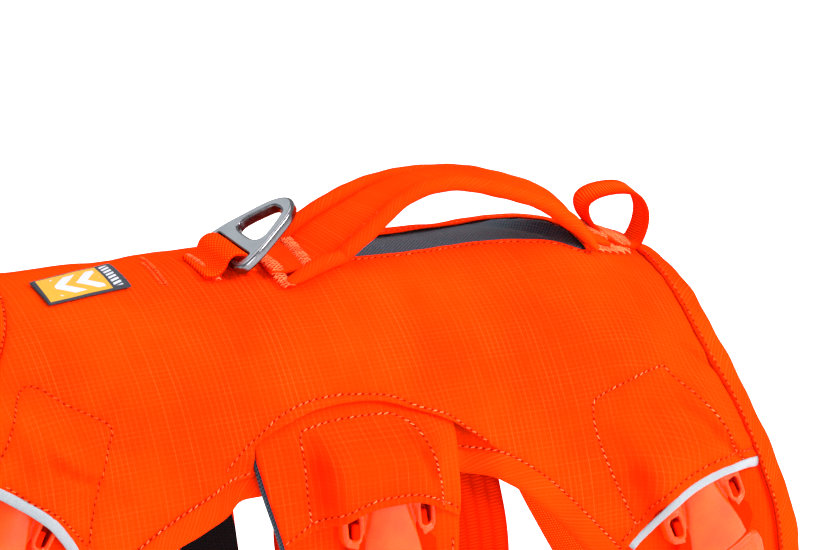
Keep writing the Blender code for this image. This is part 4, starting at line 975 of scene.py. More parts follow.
bars = g.m("MULTIPLY", endbar, g.pulse(g.m("ADD", g.m("MULTIPLY", ly, 27.0), g.m("MULTIPLY", lx, 14.0)), 3.1, 1.9, soft=0.2))
tri = g.m("ABSOLUTE", g.m("SUBTRACT", ly, 0.5))
chv = g.pulse(g.m("ADD", g.m("MULTIPLY", lx, 37.5), g.m("MULTIPLY", tri, -22.0)), 10.4, 5.4, shift=0.10, soft=0.06)
fieldmask = g.m("MULTIPLY", g.m("MULTIPLY", g.remap(lx, 0.20, 0.21, 0.0, 1.0), g.remap(lx, 0.735, 0.745, 1.0, 0.0)), g.m("MULTIPLY", g.remap(ly, 0.16, 0.17, 0.0, 1.0), g.remap(ly, 0.83, 0.84, 1.0, 0.0)))
weave = g.pulse(g.m("ADD", x, y), 0.5, 0.28, soft=0.9)
col = g.mix(g.m("MULTIPLY", chv, fieldmask), (0.50, 0.245, 0.012), (0.42, 0.43, 0.52))
col = g.mix(end, col, (0.018, 0.020, 0.030))
col = g.mix(bars, col, (0.42, 0.43, 0.48))
dark = g.m("MAXIMUM", edge_l, g.m("MAXIMUM", edge_s, g.remap(lx, 0.965, 0.970, 0.0, 1.0)))
col = g.mix(dark, col, (0.014, 0.016, 0.026))
col = g.mix(g.m("MULTIPLY", g.m("SUBTRACT", 1.0, weave), 0.10), col, (0.02, 0.02, 0.03))
g.color(col)
g.normal(g.bump(weave, 0.00005, 0.5))

g = Graph("floor", rough=0.9, color=(0.86, 0.86, 0.86), spec=0.1)
f = g.noise(g.place(), 3.0, 2.0)
g.color(g.mix(f, (0.88, 0.88, 0.88), (0.90, 0.90, 0.90)))
g.b.inputs["Emission Color"].default_value = (1, 1, 1, 1)
g.b.inputs["Emission Strength"].default_value = 0.6


# ------------------------------------------------------------------ stitches and bar tacks
def needle(points, normals, name, mat="thread", pitch=PITCH, ln=2.05, wid=0.60, hi=0.42, holes=True, lift=0.08, slant=0.30, seed=1, mirror=True, slot=None, phase=0.0):
    """a run of lock stitches: each a short raised thread, with small dark discs of painted shade for the needle holes
    between
    """
    P, N = np.asarray(points, float), np.asarray(normals, float)
    d = np.concatenate([[0], np.cumsum(np.linalg.norm(np.diff(P, axis=0), axis=1))])
    r = np.random.RandomState(seed)
    t = np.arange(pitch*(0.5 + phase), d[-1] - pitch*0.4, pitch)
    V, F, PT, TN, HV, HF = [], [], [], [], [], []

    def at(u):
        q = np.array([np.interp(u, d, P[:, k]) for k in range(3)])
        n = np.array([np.interp(u, d, N[:, k]) for k in range(3)])
        return q, n/np.linalg.norm(n)
    for u in t:
        u = u + r.uniform(-0.22, 0.22)
        L = ln*r.uniform(0.88, 1.08)
        tone = r.uniform(0.0, 1.0)**1.7
        a0, n0 = at(u - L/2)
        a1, _ = at(u + L/2)
        tv = a1 - a0
        tl = np.linalg.norm(tv)
        if tl < 0.2:
            continue
        tv = tv/tl
        side = np.cross(n0, tv)
        side /= np.linalg.norm(side)
        sl = slant + r.uniform(-0.05, 0.05)
        k0 = len(V)
        secs = ((-0.5, 0.25, 0.0), (-0.36, 0.85, 0.75), (0.0, 1.0, 1.0), (0.36, 0.85, 0.75), (0.5, 0.25, 0.0))
        for (q, wf, hf) in secs:
            c = (a0 + a1)/2 + tv*q*L + side*(q*L*sl)
            for m in range(6):
                an = math.pi*2*m/6
                V.append(c + side*math.cos(an)*wid/2*wf + n0*(lift + hf*hi*0.45 + math.sin(an)*hi/2*wf))
                PT.append((q*L, math.cos(an)*wid/2))
                TN.append(tone)
        for i in range(4):
            for m in range(6):
                j = (m + 1) % 6
                F.append((k0 + i*6 + m, k0 + i*6 + j, k0 + (i + 1)*6 + j, k0 + (i + 1)*6 + m))
        F.append(tuple(k0 + m for m in range(6))[::-1])
        F.append(tuple(k0 + 24 + m for m in range(6)))
        # a small dark disc of painted shade over each needle hole
        if holes:
            c, n1 = at(u + pitch/2)
            kk = len(HV)
            for m in range(7):
                an = math.pi*2*m/7
                HV.append(c + (tv*math.cos(an)*0.70 + side*math.sin(an)*0.52) + n1*0.24)
            HV.append(c + n1*0.20)
            for m in range(7):
                HF.append((kk + m, kk + (m + 1) % 7, kk + 7))
    if not V:
        return
    run = STITCH.setdefault(mat, dict(v=[], f=[], p=[], t=[]))
    for sg in ((1, -1) if mirror else (1,)):
        k0 = len(run["v"])
        m = np.array([1, sg, 1])
        run["v"] += [q*m for q in V]
        run["f"] += [tuple(i + k0 for i in (f if sg > 0 else f[::-1])) for f in F]
        run["p"] += PT
        run["t"] += TN
        k0 = len(HOLES["v"])
        HOLES["v"] += [q*m for q in HV]
        HOLES["f"] += [tuple(i + k0 for i in (f if sg > 0 else f[::-1])) for f in HF]


STITCH, HOLES = {}, dict(v=[], f=[])


def seam_on(line, off_fn, name, extra_off=0.0, **kw):
    line = even(line, 1.0)
    p = surf(line[:, 0], line[:, 1], off_fn(line[:, 0], line[:, 1]) + extra_off)
    q = surf(line[:, 0], line[:, 1], off_fn(line[:, 0], line[:, 1]) + extra_off + 1.0)
    needle(p, q - p, name, **kw)


def bar_tack(p0, p1, n, wid, name, per_mm=1.9, hi=0.7, seed=5, mat="thread", mirror=False, lift=0.25, slant=0.35):
    """a dense zigzag: threads laid across a short line, from point p0 to point p1, or along p0 when it is a list of
    points
    """
    p0, p1, n = (np.asarray(k, float) for k in (p0, p1, n))
    P = np.stack([p0 + (p1 - p0)*t for t in np.linspace(0, 1, 30)]) if p0.ndim == 1 else p0
    d = np.concatenate([[0], np.cumsum(np.linalg.norm(np.diff(P, axis=0), axis=1))])
    r = np.random.RandomState(seed)
    run = STITCH.setdefault(mat, dict(v=[], f=[], p=[], t=[]))
    cnt = int(d[-1]*per_mm)
    for i in range(cnt):
        u = d[-1]*(i + 0.5)/cnt + r.uniform(-0.12, 0.12)
        c = np.array([np.interp(u, d, P[:, k]) for k in range(3)])
        c2 = np.array([np.interp(min(u + 0.8, d[-1]), d, P[:, k]) for k in range(3)])
        c1 = np.array([np.interp(max(u - 0.8, 0), d, P[:, k]) for k in range(3)])
        nn = n if n.ndim == 1 else np.array([np.interp(u, d, n[:, k]) for k in range(3)])
        nn = nn/np.linalg.norm(nn)
        tv = (c2 - c1)/np.linalg.norm(c2 - c1)
        side = np.cross(nn, tv)
        side /= np.linalg.norm(side)
        dr = side + tv*(slant*(1 if i % 2 else -1) + r.uniform(-0.15, 0.15))
        dr /= np.linalg.norm(dr)
        w = wid*r.uniform(0.86, 1.1)
        tone = r.uniform(0.2, 1.0)
        for sg in ((1, -1) if mirror else (1,)):
            k0 = len(run["v"])
            sx = np.cross(nn, dr)
            for (q, wf, hf) in ((-0.5, 0.6, 0.0), (-0.34, 1.0, 0.7), (-0.1, 1.0, 1.0), (0.12, 1.0, 1.0), (0.34, 1.0, 0.7), (0.5, 0.6, 0.0)):
                cc = c + dr*q*w + nn*(lift + hf*hi)
                for m in range(5):
                    an = math.pi*2*m/5
                    v = cc + sx*math.cos(an)*0.26*wf + nn*math.sin(an)*0.22*wf
                    run["v"].append(v*np.array([1, sg, 1]))
                    run["p"].append((q*w, math.cos(an)*0.3))
                    run["t"].append(tone)
            fs = []
            for k in range(5):
                for m in range(5):
                    j = (m + 1) % 5
                    fs.append((k*5 + m, k*5 + j, (k + 1)*5 + j, (k + 1)*5 + m))
            fs += [tuple(range(5))[::-1], tuple(25 + m for m in range(5))]
            run["f"] += [tuple(a + k0 for a in (f if sg > 0 else f[::-1])) for f in fs]


# ------------------------------------------------------------------ back panel shell
UNDER_BIND = 4.3
tail_in, side_in, neck_in = inset(tail_c, -UNDER_BIND), inset(side_c, -UNDER_BIND), inset(neck_c, UNDER_BIND)


def nearest(line, q):
    return int(np.argmin(np.linalg.norm(line - q, axis=1)))


def join(parts, gap=0.9):
    out = []
    for run in parts:
        for q in np.asarray(run, float):
            if not out or np.linalg.norm(q - out[-1]) > gap:
                out.append(q)
    if np.linalg.norm(out[0] - out[-1]) < gap:
        out.pop()
    return np.array(out)


i_tail, i_side_r = nearest(tail_in, rear_hem[-1]), nearest(side_in, rear_hem[0])
i_arch_r, i_arch_f = nearest(side_in, np.array(ARCH_FOLD[0])), nearest(side_in, np.array(ARCH_FOLD[-1]))
i_side_f, i_neck = nearest(side_in, front_hem[-1]), nearest(neck_in, front_hem[0])
half_shell = join([tail_in[:i_tail + 1], rear_hem[::-1][1:-1], side_in[i_side_r:i_arch_r + 1], fold_c[1:-1], side_in[i_arch_f:i_side_f + 1],
                   front_hem[::-1][1:-1], neck_in[:i_neck + 1][::-1]])
other = half_shell[::-1][1:-1]*(1, -1)
shell_outline = np.vstack([half_shell, other])
both = lambda ln: [ln, ln*(1, -1)]
seam_rows = [q for k in SHELL_SEAMS for q in both(k)] + [slot_st]
shell = panel("shell_cloth_top", shell_outline, shell_off, SHELL_T, "shell_ripstop", step=2.1, holes=[slot_c], extra=seam_rows, slot="shell_cloth", shade_fn=shell_painted_shade)
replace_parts(shell, "shell")

# slot lining, with the darker fold at its front end
lining_outline = [(-52, -34), (-30, -38), (0, -40), (60, -42), (98, -40), (106, -20), (106, 20), (98, 36), (60, 34), (0, 30), (-30, 28), (-52, 24)]
lo = even(smooth_line(lining_outline + lining_outline[:1], 1.0), 2.5)[:-1]
LINING_FOLDS = ((60, -20, 84, 2, 4.2, 3.6), (54, -22, 76, 4, 2.6, -1.6), (-10, -6, 40, -10, 7.0, 0.5))


def lining_off(x, s):
    return -SHELL_T - GAP - 0.3 + folds_field(x, s, LINING_FOLDS)*np.clip(1 - np.abs(s + 5)/26, 0, 1) - 0.6*np.exp(-((s + 8)/16)**2)


ob = panel("slot_lining_cloth", lo, lining_off, 1.0, "lining_grey", step=2.6, slot="lining_grey")
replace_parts(ob, "slot_lining")

# base layers
top_edge = even(smooth_line([(118, 60), (100, 56), (60, 58), (20, 66), (-20, 70), (-60, 70), (-100, 70), (-140, 60), (-170, 50), (-190, 47)], 1.0), 4.0)
tail_b, side_b, neck_b = inset(tail_c, -UNDER_BIND - 0.4), inset(side_c, -UNDER_BIND - 0.4), inset(neck_c, UNDER_BIND + 0.4)
j_tail, j_neck = nearest(tail_b, top_edge[-1]), nearest(neck_b, top_edge[0])
base_outline = join([tail_b[j_tail:-4], side_b[4:-4], neck_b[j_neck:-4][::-1], top_edge[1:-1]])
base = panel("base_cloth_r", base_outline, base_off, BASE_T, "shade_ripstop", step=3.0, slot="shell_cloth")
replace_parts(base, "base_r")
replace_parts(mirror_object(base, "base_cloth_l"), "base_l")


# ------------------------------------------------------------------ bound edges
def bound_edge(name, line, outward, width_in, width_out, mid_off, thick, seed=0, bulge=1.0, mat="bias_ripstop", body=BODY):
    """a bias strip folded round the edge: flat on the inner side, rolled at the free edge"""
    line = even(line, 2.2)
    t = np.gradient(line, axis=0)
    t /= np.linalg.norm(t, axis=1, keepdims=True)
    n2 = outward*np.stack([-t[:, 1], t[:, 0]], 1)
    run = np.concatenate([[0], np.cumsum(np.linalg.norm(np.diff(line, axis=0), axis=1))])
    wv = 1 + 0.05*np.sin(run/6.1 + seed) + 0.04*np.sin(run/2.9 + 2*seed)
    th = (thick(line[:, 0]) if callable(thick) else np.full(len(line), thick))
    mid = mid_off(line[:, 0], line[:, 1])
    wi, wo = width_in, width_out
    prof = [(-wi, 0.34), (-wi + 0.25, 0.50), (-wi + 1.3, 0.56), (-wi*0.45, 0.58), (0, 0.60), (wo*0.45, 0.60), (wo*0.75, 0.48), (wo*0.95, 0.22), (wo, -0.02), (wo*0.94, -0.26), (wo*0.70, -0.46),
            (wo*0.3, -0.5), (-wi*0.3, -0.5), (-wi + 1.2, -0.46), (-wi, -0.34), (-wi - 0.05, 0.0)]
    k = len(prof)
    V = np.zeros((len(line), k, 3))
    for j, (a, h) in enumerate(prof):
        aa = a*np.where(a > 0, wv, 1.0)
        pk = 0.10*np.sin(run*2*math.pi/5.2 + 1.9*np.sin(run/7.0) + seed)*(1 if h > 0.3 else 0)*np.exp(-((a + wi)/4.0)**2)*bulge
        V[:, j] = surf(line[:, 0] + n2[:, 0]*aa, line[:, 1] + n2[:, 1]*aa, mid + h*th*wv + pk)
    rnd = np.concatenate([[0], np.cumsum(np.linalg.norm(np.diff(np.array([(a, h*4) for a, h in prof]), axis=0), axis=1))])
    pat = np.stack([np.repeat(run[:, None], k, 1), np.repeat(rnd[None], len(line), 0)], -1).reshape(-1, 2)
    faces = []
    for i in range(len(line) - 1):
        for m in range(k):
            q = (m + 1) % k
            faces.append((i*k + m, i*k + q, (i + 1)*k + q, (i + 1)*k + m))
    faces.append(tuple(range(k))[::-1])
    faces.append(tuple((len(line) - 1)*k + m for m in range(k)))
    v = V.reshape(-1, 3)
    i0 = (len(line)//2)*k
    nrm = np.cross(v[i0 + 5] - v[i0 + 4], v[i0 + k + 4] - v[i0 + 4])
    if np.dot(nrm, v[i0 + 4] - v[i0 + 12]) < 0:
        faces = [f[::-1] for f in faces]
    ob = mesh_object(name, v, faces, mat, pat=pat, slot="shell_cloth", body=body)
    ob["length"], ob["round"] = float(run[-1]), float(rnd[-1])
    return ob


def bind_mid(x, s):
    return -(SHELL_T + GAP + BASE_T)/2 - sink(x)*(UNDER_TAB + 1.6) + 0.15


def bind_thick(x):
    return 5.0 - 2.2*sink(x)


sb = bound_edge("side_binding_cloth_r", side_c, 1, 5.6, 5.4, bind_mid, bind_thick, seed=1)
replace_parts(sb, "side_binding_r")
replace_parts(mirror_object(sb, "side_binding_cloth_l"), "side_binding_l")


def both_sides(line):
    o = line[::-1][:-1]*(1, -1)
    return np.vstack([o, line])


tb = bound_edge("tail_binding_cloth", both_sides(tail_c), 1, 5.6, 5.4, bind_mid, 5.0, seed=2)
nb = bound_edge("neck_binding_cloth", both_sides(neck_c), -1, 6.4, 6.0, bind_mid, 5.0, seed=3)
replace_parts(tb, "tail_binding")
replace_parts(nb, "neck_binding")


def bind_top(x, s):
    return bind_mid(x, s) + 0.5*bind_thick(x)


seam_on(inset(side_c, -6.0)[6:-6], lambda x, s: shell_off(x, s)*0 - 0.1 - sink(x)*UNDER_TAB, "side", extra_off=0.25, seed=11)
seam_on(inset(tail_c, -5.1)[2:-6], lambda x, s: bind_mid(x, s) + 2.6, "tail", mat="thread_low", seed=12, hi=0.3)
seam_on(inset(neck_c, 5.9)[2:-6], lambda x, s: bind_mid(x, s) + 2.6, "neck", mat="thread_low", seed=13, hi=0.3, ln=2.0)
for key, sd, mt in (("front_pocket", 21, "thread"), ("front_hem", 22, "thread_low"), ("rear_pocket", 23, "thread_low"), ("rear_hem", 24, "thread_low"), ("arch", 25, "thread")):
    seam_on(LN[key], shell_off, key, seed=sd, mat=mt)
seam_on(np.vstack([slot_st, slot_st[:1]]), shell_off, "slot", seed=26, mirror=False, mat="thread_low", ln=2.6)

# ------------------------------------------------------------------ piping on the hems
for nm, f, table in (("front", FR["front"], FRONT_HEM), ("rear", FR["rear"], REAR_HEM)):
    ln = even(smooth_line([(u + PIPE_W/2 - 0.2, v) for u, v in table], 1.0), 2.2)
    ln = ln[(ln[:, 1] > ln[:, 1].min() + 2.5) & (ln[:, 1] < ln[:, 1].max() - 1.0)]
    pts = np.array([pattern_of(f, u, v) for u, v in ln])
    hem = np.array([pattern_of(f, u - PIPE_W/2 - 0.4, v) for u, v in ln])
    off = pocket(hem[:, 0], hem[:, 1], (nm,)) - SHELL_T/2 - 0.15
    c = surf(pts[:, 0], pts[:, 1], off)
    nn = normals_on(pts)
    t = unit(np.gradient(c, axis=0))
    ac = unit(np.cross(nn, t))
    w = 2.2
    prof = [(w*math.cos(a), 0.62*math.sin(a)) for a in np.linspace(0, 2*math.pi, 14, endpoint=False)]
    ob = tube("piping_%s_tape_r" % nm, c, ac, unit(np.cross(t, ac)), prof, "piping_tape", slot="piping")
    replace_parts(ob, "piping_%s_r" % nm)
    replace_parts(mirror_object(ob, "piping_%s_tape_l" % nm), "piping_%s_l" % nm)

# ------------------------------------------------------------------ girth tab
tab_line = even(smooth_line(TAB + TAB[:1], 1.0), 2.2)[:-1]
ob = panel("tab_cloth_r", tab_line, tab_off, TAB_T, "shade_ripstop", step=2.8, slot="shell_cloth")
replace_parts(ob, "tab_r")
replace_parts(mirror_object(ob, "tab_cloth_l"), "tab_l")
tab_area = ob["area"]
lin_line = tab_line.copy()
lin_line[:, 0] -= 1.4*ramp((-60 - lin_line[:, 0])/8)*ramp((lin_line[:, 1] - 88)/30)
ob = panel("tab_lining_cloth_r", lin_line, tablin_off, 1.8, "lining_grey", step=3.0, slot="lining_grey")
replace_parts(ob, "tab_lining_r")
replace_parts(mirror_object(ob, "tab_lining_cloth_l"), "tab_lining_l")
hem = even(smooth_line(TAB_FLAP_HEM, 1.0), 2.0)
up_left = tab_line[(tab_line[:, 0] < -60) & (tab_line[:, 1] < 139) & (tab_line[:, 1] > 78)]
up_right = tab_line[(tab_line[:, 0] > -40) & (tab_line[:, 1] < 136) & (tab_line[:, 1] > 78)]
flap_outline = join([[(-98, 76)], up_left, hem, up_right, [(-12, 76)]])
ob = panel("tab_flap_cloth_r", flap_outline, flap_off, TAB_T, "shell_ripstop", step=1.9, extra=[LN["girth_pocket"], LN["flap_hem"]], slot="shell_cloth", shade_fn=flap_painted_shade)
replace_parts(ob, "tab_flap_r")
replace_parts(mirror_object(ob, "tab_flap_cloth_l"), "tab_flap_l")
seam_on(LN["girth_pocket"], flap_off, "girth_pocket", seed=31)
seam_on(LN["flap_hem"], flap_off, "flap_hem", seed=32)
low = tab_line[(tab_line[:, 1] > 142)]
lc = tab_line.mean(0)
seam_on(grow_loop(tab_line, -3.0)[(tab_line[:, 1] > 146)], tab_off, "tab_edge", seed=33)

# ------------------------------------------------------------------ buckles
H0 = {"front": -SHELL_T - GAP + 0.5, "girth": TAB_OUT - TAB_T - GAP + 0.5, "rear": -SHELL_T - GAP + 0.5}
FEMALE_PLAN = ((-13, 15.4), (-11, 16.8), (-2, 20), (4, 21), (13.5, 21), (16.5, 19.5), (18, 15.2), (32, 15.2))
MALE_BODY = ((32.7, 15.0), (34.5, 19.0), (40, 20.4), (50, 18.6), (58, 16.6), (60, 15.0))


def plan(rows, step=1.0):
    pts = [(u, v) for u, v in rows] + [(u, -v) for u, v in rows[::-1]]
    return even(np.array(pts + pts[:1], float), step)[:-1]


def col_half(u):
    return np.interp(u, (-8, 2, 8, 16, 24, 31.4, 33), (7.2, 8.0, 9.2, 11.6, 13.4, 14.2, 14.4))


def female_top(u, v):
    a = np.abs(v)
    ch = col_half(u)
    plate = 6.3 - 0.020*np.maximum(0, a - 12)**2
    # moulded window surround
    du, dv = np.maximum(0, np.abs(u - 8.5) - 4.9), np.maximum(0, np.abs(a - 16.1) - 2.5)
    dw = np.hypot(du, dv)
    plate = plate + 0.95*np.exp(-((dw - 0.95)/0.60)**2)
    # channel between the column and the window
    gr = np.exp(-((a - ch - 1.25)/1.15)**2)*ramp((u + 4)/5)
    plate = plate - 2.3*gr
    crown = BUCKLE_H + 0.25 - 2.3*np.clip(a/ch, 0, 1)**2.2 - 0.35*ramp((u - 26)/8)
    w = ramp((ch + 0.15 - a)/1.2)*ramp((u + 8.6)/2.0)
    return plate*(1 - w) + crown*w


def male_top(u, v):
    a = np.abs(v)
    z = 7.4 - 0.010*np.maximum(0, a - 6)**2
    for c in (36.2, 38.6, 41.0):
        z = z - 0.55*np.exp(-((u - c)/0.5)**2)*ramp((15.5 - a)/2)
    z = z + 0.25*np.exp(-((a - 15.4)/0.8)**2)
    return z


def hard_piece(name, rows, top_fn, bottom, holes, f, h0, step, mat, round_r=1.1, slot="buckle_plastic"):
    """a moulded piece: domed top with rounded edges over its outline, through windows, flat underside"""
    out = plan(rows)
    loops = [out] + holes
    lo, hi = out.min(0), out.max(0)
    gx, gs = np.meshgrid(np.arange(lo[0], hi[0], step), np.arange(lo[1], hi[1], step), indexing="ij")
    gp = np.stack([gx.ravel(), gs.ravel()], 1)
    gp = gp[inside(out, gp)]
    ex = []
    for i, lp in enumerate(loops):
        for d in (0.28, 0.65, 1.2):
            ex.append(grow_loop(lp, -d if i == 0 else d))
    ex = np.vstack(ex)
    ex = ex[inside(out, ex)]
    for h in holes:
        gp = gp[~inside(h, gp)]
        ex = ex[~inside(h, ex)]
    for lp in loops:
        gp = gp[edge_distance(lp, gp) > 1.35]
        ex = ex[edge_distance(lp, ex) > 0.2]
    verts, edges = [], []
    for lp in loops:
        k = len(verts)
        verts += [tuple(q) for q in lp]
        edges += [(k + i, k + (i + 1) % len(lp)) for i in range(len(lp))]
    verts += [tuple(q) for q in ex] + [tuple(q) for q in gp]
    rv, _, rf, *_ = delaunay_2d_cdt([Vector(v) for v in verts], edges, [], 0, 1e-5)
    rv = np.array([(v[0], v[1]) for v in rv])
    tri = np.array([q for q in rf if len(q) == 3])
    c = rv[tri].mean(axis=1)
    ok = inside(out, c)
    for h in holes:
        ok &= ~inside(h, c)
    tri = tri[ok]
    ed = np.min([edge_distance(lp, rv) for lp in loops], axis=0)
    ed_out = edge_distance(out, rv)
    rr = np.where(ed_out <= ed + 1e-6, round_r, 0.5)
    e = np.clip(ed/rr, 0, 1)
    drop = rr*(1 - np.sqrt(np.clip(1 - (1 - e)**2, 0, 1)))
    z = top_fn(rv[:, 0], rv[:, 1]) - drop
    bot = np.full(len(rv), float(bottom)) + 0.4*drop
    n = len(rv)
    top3, bot3 = f.world(rv[:, 0], rv[:, 1], z + h0), f.world(rv[:, 0], rv[:, 1], bot + h0)
    cnt = {}
    for t in tri.tolist():
        for a, b in ((t[0], t[1]), (t[1], t[2]), (t[2], t[0])):
            cnt[(a, b)] = 1
    edge = [(a, b) for (a, b) in cnt if (b, a) not in cnt]
    nr = np.cross(top3[tri[:, 1]] - top3[tri[:, 0]], top3[tri[:, 2]] - top3[tri[:, 0]])
    if np.sum(nr@f.n) < 0:
        tri = tri[:, ::-1]
        edge = [(b, a) for a, b in edge]
    # wall points are gathered but not used; the walls join the top and underside points, and only the underside rim
    # edges are marked sharp
    em = sorted({i for ab in edge for i in ab})
    ix = {v: i for i, v in enumerate(em)}
    wall = np.vstack([top3[em], bot3[em]])
    k0, ne = 2*n, len(em)
    faces = tri.tolist() + (tri[:, ::-1] + n).tolist()
    fm = [0]*len(faces)
    is_hole = np.zeros(n, bool)
    for h in holes:
        is_hole |= edge_distance(h, rv) < 1e-3
    # window walls take the second, deep red material: painted shade
    for a, b in edge:
        faces.append((b, a, a + n, b + n))
        fm.append(1 if is_hole[a] and is_hole[b] else 0)
    return mesh_object(name, np.vstack([top3, bot3]), faces, mat, slot=slot, mats=[mat, "buckle_hollow"], face_mat=fm,
                       sharp=[(a + n, b + n) for a, b in edge])


def window(sg):
    pts = [(3.8, 13.9), (5.2, 13.7), (12.6, 13.9), (13.5, 14.9), (13.3, 17.4), (12.3, 18.4), (5.6, 18.6), (4.0, 17.6)]
    return even(np.array([(u, sg*v) for u, v in pts + pts[:1]], float), 0.7)[:-1]


def slot_hole(u0, u1, half):
    pts = [(u0, -half), (u1, -half), (u1, half), (u0, half), (u0, -half)]
    return even(np.array(pts, float), 1.1)[:-1]


def prong_piece(name, f, h0, sg):
    pts = [(7.2, 12.8), (7.0, 16.3), (17.2, 17.2), (20.5, 20.0), (27, 20.0), (30.5, 17.0), (34.0, 14.0), (34.0, 6.2), (28, 8.4), (18, 11.0)]
    out = even(np.array([(u, sg*v) for u, v in pts + pts[:1]], float), 0.9)[:-1]
    n = len(out)
    V, F = [], []
    cen = out.mean(0)
    for h, d in ((2.7, 0.35), (3.0, 0.0), (5.1, 0.0), (5.5, 0.3), (5.65, 0.7)):
        q = grow_loop(out, -d) if d else out
        V += [f.world(a, b, h + h0) for a, b in q]
    V = np.array(V)
    for r in range(4):
        for i in range(n):
            j = (i + 1) % n
            F.append((r*n + i, r*n + j, (r + 1)*n + j, (r + 1)*n + i))
    V = np.vstack([V, f.world(19.0, sg*13.6, 2.7 + h0)[None], f.world(19.0, sg*13.6, 5.65 + h0)[None]])
    for i in range(n):
        j = (i + 1) % n
        F.append((j, i, 5*n))
        F.append((4*n + i, 4*n + j, 5*n + 1))
    nrm = np.cross(V[1] - V[0], V[n] - V[0])
    if np.dot(nrm, V[0] - V[:n].mean(0)) < 0:
        F = [q[::-1] for q in F]
    return mesh_object(name, V, F, "prong_plastic", slot="buckle_plastic")


for nm, f in FR.items():
    h0 = H0[nm]
    fine = 0.75 if nm in ("front", "girth") else 0.9
    fem = hard_piece("female_%s_r" % nm, FEMALE_PLAN, female_top, 0.0, [window(1), window(-1), slot_hole(-9.2, -4.6, 12.9)], f, h0, fine, "buckle_plastic")
    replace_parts(fem, "buckle_female_%s_r" % nm)
    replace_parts(mirror_object(fem, "female_%s_l" % nm), "buckle_female_%s_l" % nm)
    mal = hard_piece("male_%s_r" % nm, MALE_BODY, male_top, 1.0, [slot_hole(46.0, 53.6, 13.1)], f, h0, 0.9, "buckle_plastic")
    pr = [prong_piece("prong_%s_%s_r" % (nm, k), f, h0, sg) for k, sg in (("a", 1), ("b", -1))]
    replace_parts(mal, "buckle_male_%s_r" % nm)
    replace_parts(mirror_object(mal, "male_%s_l" % nm), "buckle_male_%s_l" % nm)
    for p in pr:
        mirror_object(p, p.name[:-1] + "l")


# ------------------------------------------------------------------ webbing
def web_profile(w, t):
    r = t*0.42
    return [(-w/2 + r, -t/2), (0, -t/2), (w/2 - r, -t/2), (w/2, -t*0.2), (w/2, t*0.2), (w/2 - r, t/2), (w/4, t/2), (0, t/2), (-w/4, t/2), (-w/2 + r, t/2), (-w/2, t*0.2), (-w/2, -t*0.2)]


def web(name, c, w, mat="web_orange", width=WEB_W, thick=WEB_T, slot="webbing", node=None, mirror=None, body=BODY):
    t = unit(np.gradient(c, axis=0))
    w = unit(w - t*np.sum(w*t, axis=1, keepdims=True))
    n = np.cross(t, w)
    ob = tube(name, c, w, n, web_profile(width, thick), mat, slot=slot, body=body)
    # weave coordinates across the flat faces
    me = ob.data
    k = 12
    pr = np.array(web_profile(width, thick))
    run = np.concatenate([[0], np.cumsum(np.linalg.norm(np.diff(c, axis=0), axis=1))])
    pat = np.zeros((len(c)*k, 3), np.float32)
    pat[:, 0] = np.repeat(run, k)
    pat[:, 1] = np.tile(pr[:, 0] + width/2, len(c))
    me.attributes["pat"].data.foreach_set("vector", pat.ravel())
    if node:
        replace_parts(ob, node)
    if mirror:
        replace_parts(mirror_object(ob, name[:-1] + "l"), mirror)
    return ob


def fine_path(pts, w, step=1.6):
    """smooth path and width directions through the stations"""
    rows = np.hstack([pts, w])
    d = [0.0]
    out = []
    ext = np.vstack([2*rows[0] - rows[1], rows, 2*rows[-1] - rows[-2]])
    for i in range(1, len(ext) - 2):
        a, b, c, e = ext[i - 1], ext[i], ext[i + 1], ext[i + 2]
        n = max(1, int(math.ceil(np.linalg.norm((c - b)[:3])/step)))
        for k in range(n):
            t = k/n
            out.append(0.5*((2*b) + (c - a)*t + (2*a - 5*b + 4*c - e)*t*t + (-a + 3*b - 3*c + e)*t**3))
    out.append(rows[-1])
    out = np.array(out)
    return out[:, :3], unit(out[:, 3:6])


def strap_rows(f, table, tail_len=16.0):
    h0 = H0[f.name]
    uh = [(60 + tail_len, 8.4), (66, 8.1), (59, 7.5), (54.4, 7.5), (51.6, 6.4), (50.4, 4.4), (51.6, 2.3), (54.4, 1.4), (59, 1.6), (63.5, 2.8), (68, 4.2)]
    pts = np.array([f.world(u, 0, h + h0) for u, h in uh])
    low = smooth_line(table, 12.0)
    body = surf(low[:, 0], low[:, 1], low[:, 2])
    nbv = normals_on(low[:, :2])
    c = np.vstack([pts, body])
    t = unit(np.gradient(c, axis=0))
    w = [f.ev]*len(pts)
    for i in range(len(body)):
        b = np.cross(nbv[i], t[len(pts) + i])
        b /= np.linalg.norm(b)
        if np.dot(b, w[-1]) < 0:
            b = -b
        w.append(b)
    return c, np.array(w)


c, w = strap_rows(FR["front"], FRONT_STRAP)
web("strap_front_web_r", *fine_path(c, w), node="strap_front_r", mirror="strap_front_l")
c, w = strap_rows(FR["girth"], GIRTH_STRAP)
web("strap_girth_web_r", *fine_path(c, w), node="strap_girth_r", mirror="strap_girth_l")
belly = half_girth(-261)
c, w = strap_rows(FR["rear"], REAR_STRAP + ((-261, belly - 0.01, 1.8),))
c[-1, 1] = 0.0
w[-1] = w[-2]*(1, 0, 1)/np.linalg.norm(w[-2]*(1, 0, 1))
m3 = np.array([1, -1, 1])
c2, w2 = (c[:-1]*m3)[::-1], (w[:-1]*m3)[::-1]
if np.dot(w2[0], w[-1]) < 0:
    w2 = -w2
web("strap_rear_web", *fine_path(np.vstack([c, c2]), np.vstack([w, w2])), node="strap_rear")
ANCHOR = ((-20.5, 0.6), (-16, 0.7), (-12, 0.8), (-8.2, 1.7), (-6.9, 4.1), (-8.2, 6.5), (-12, 7.0), (-15.5, 5.4), (-18.5, 3.2))
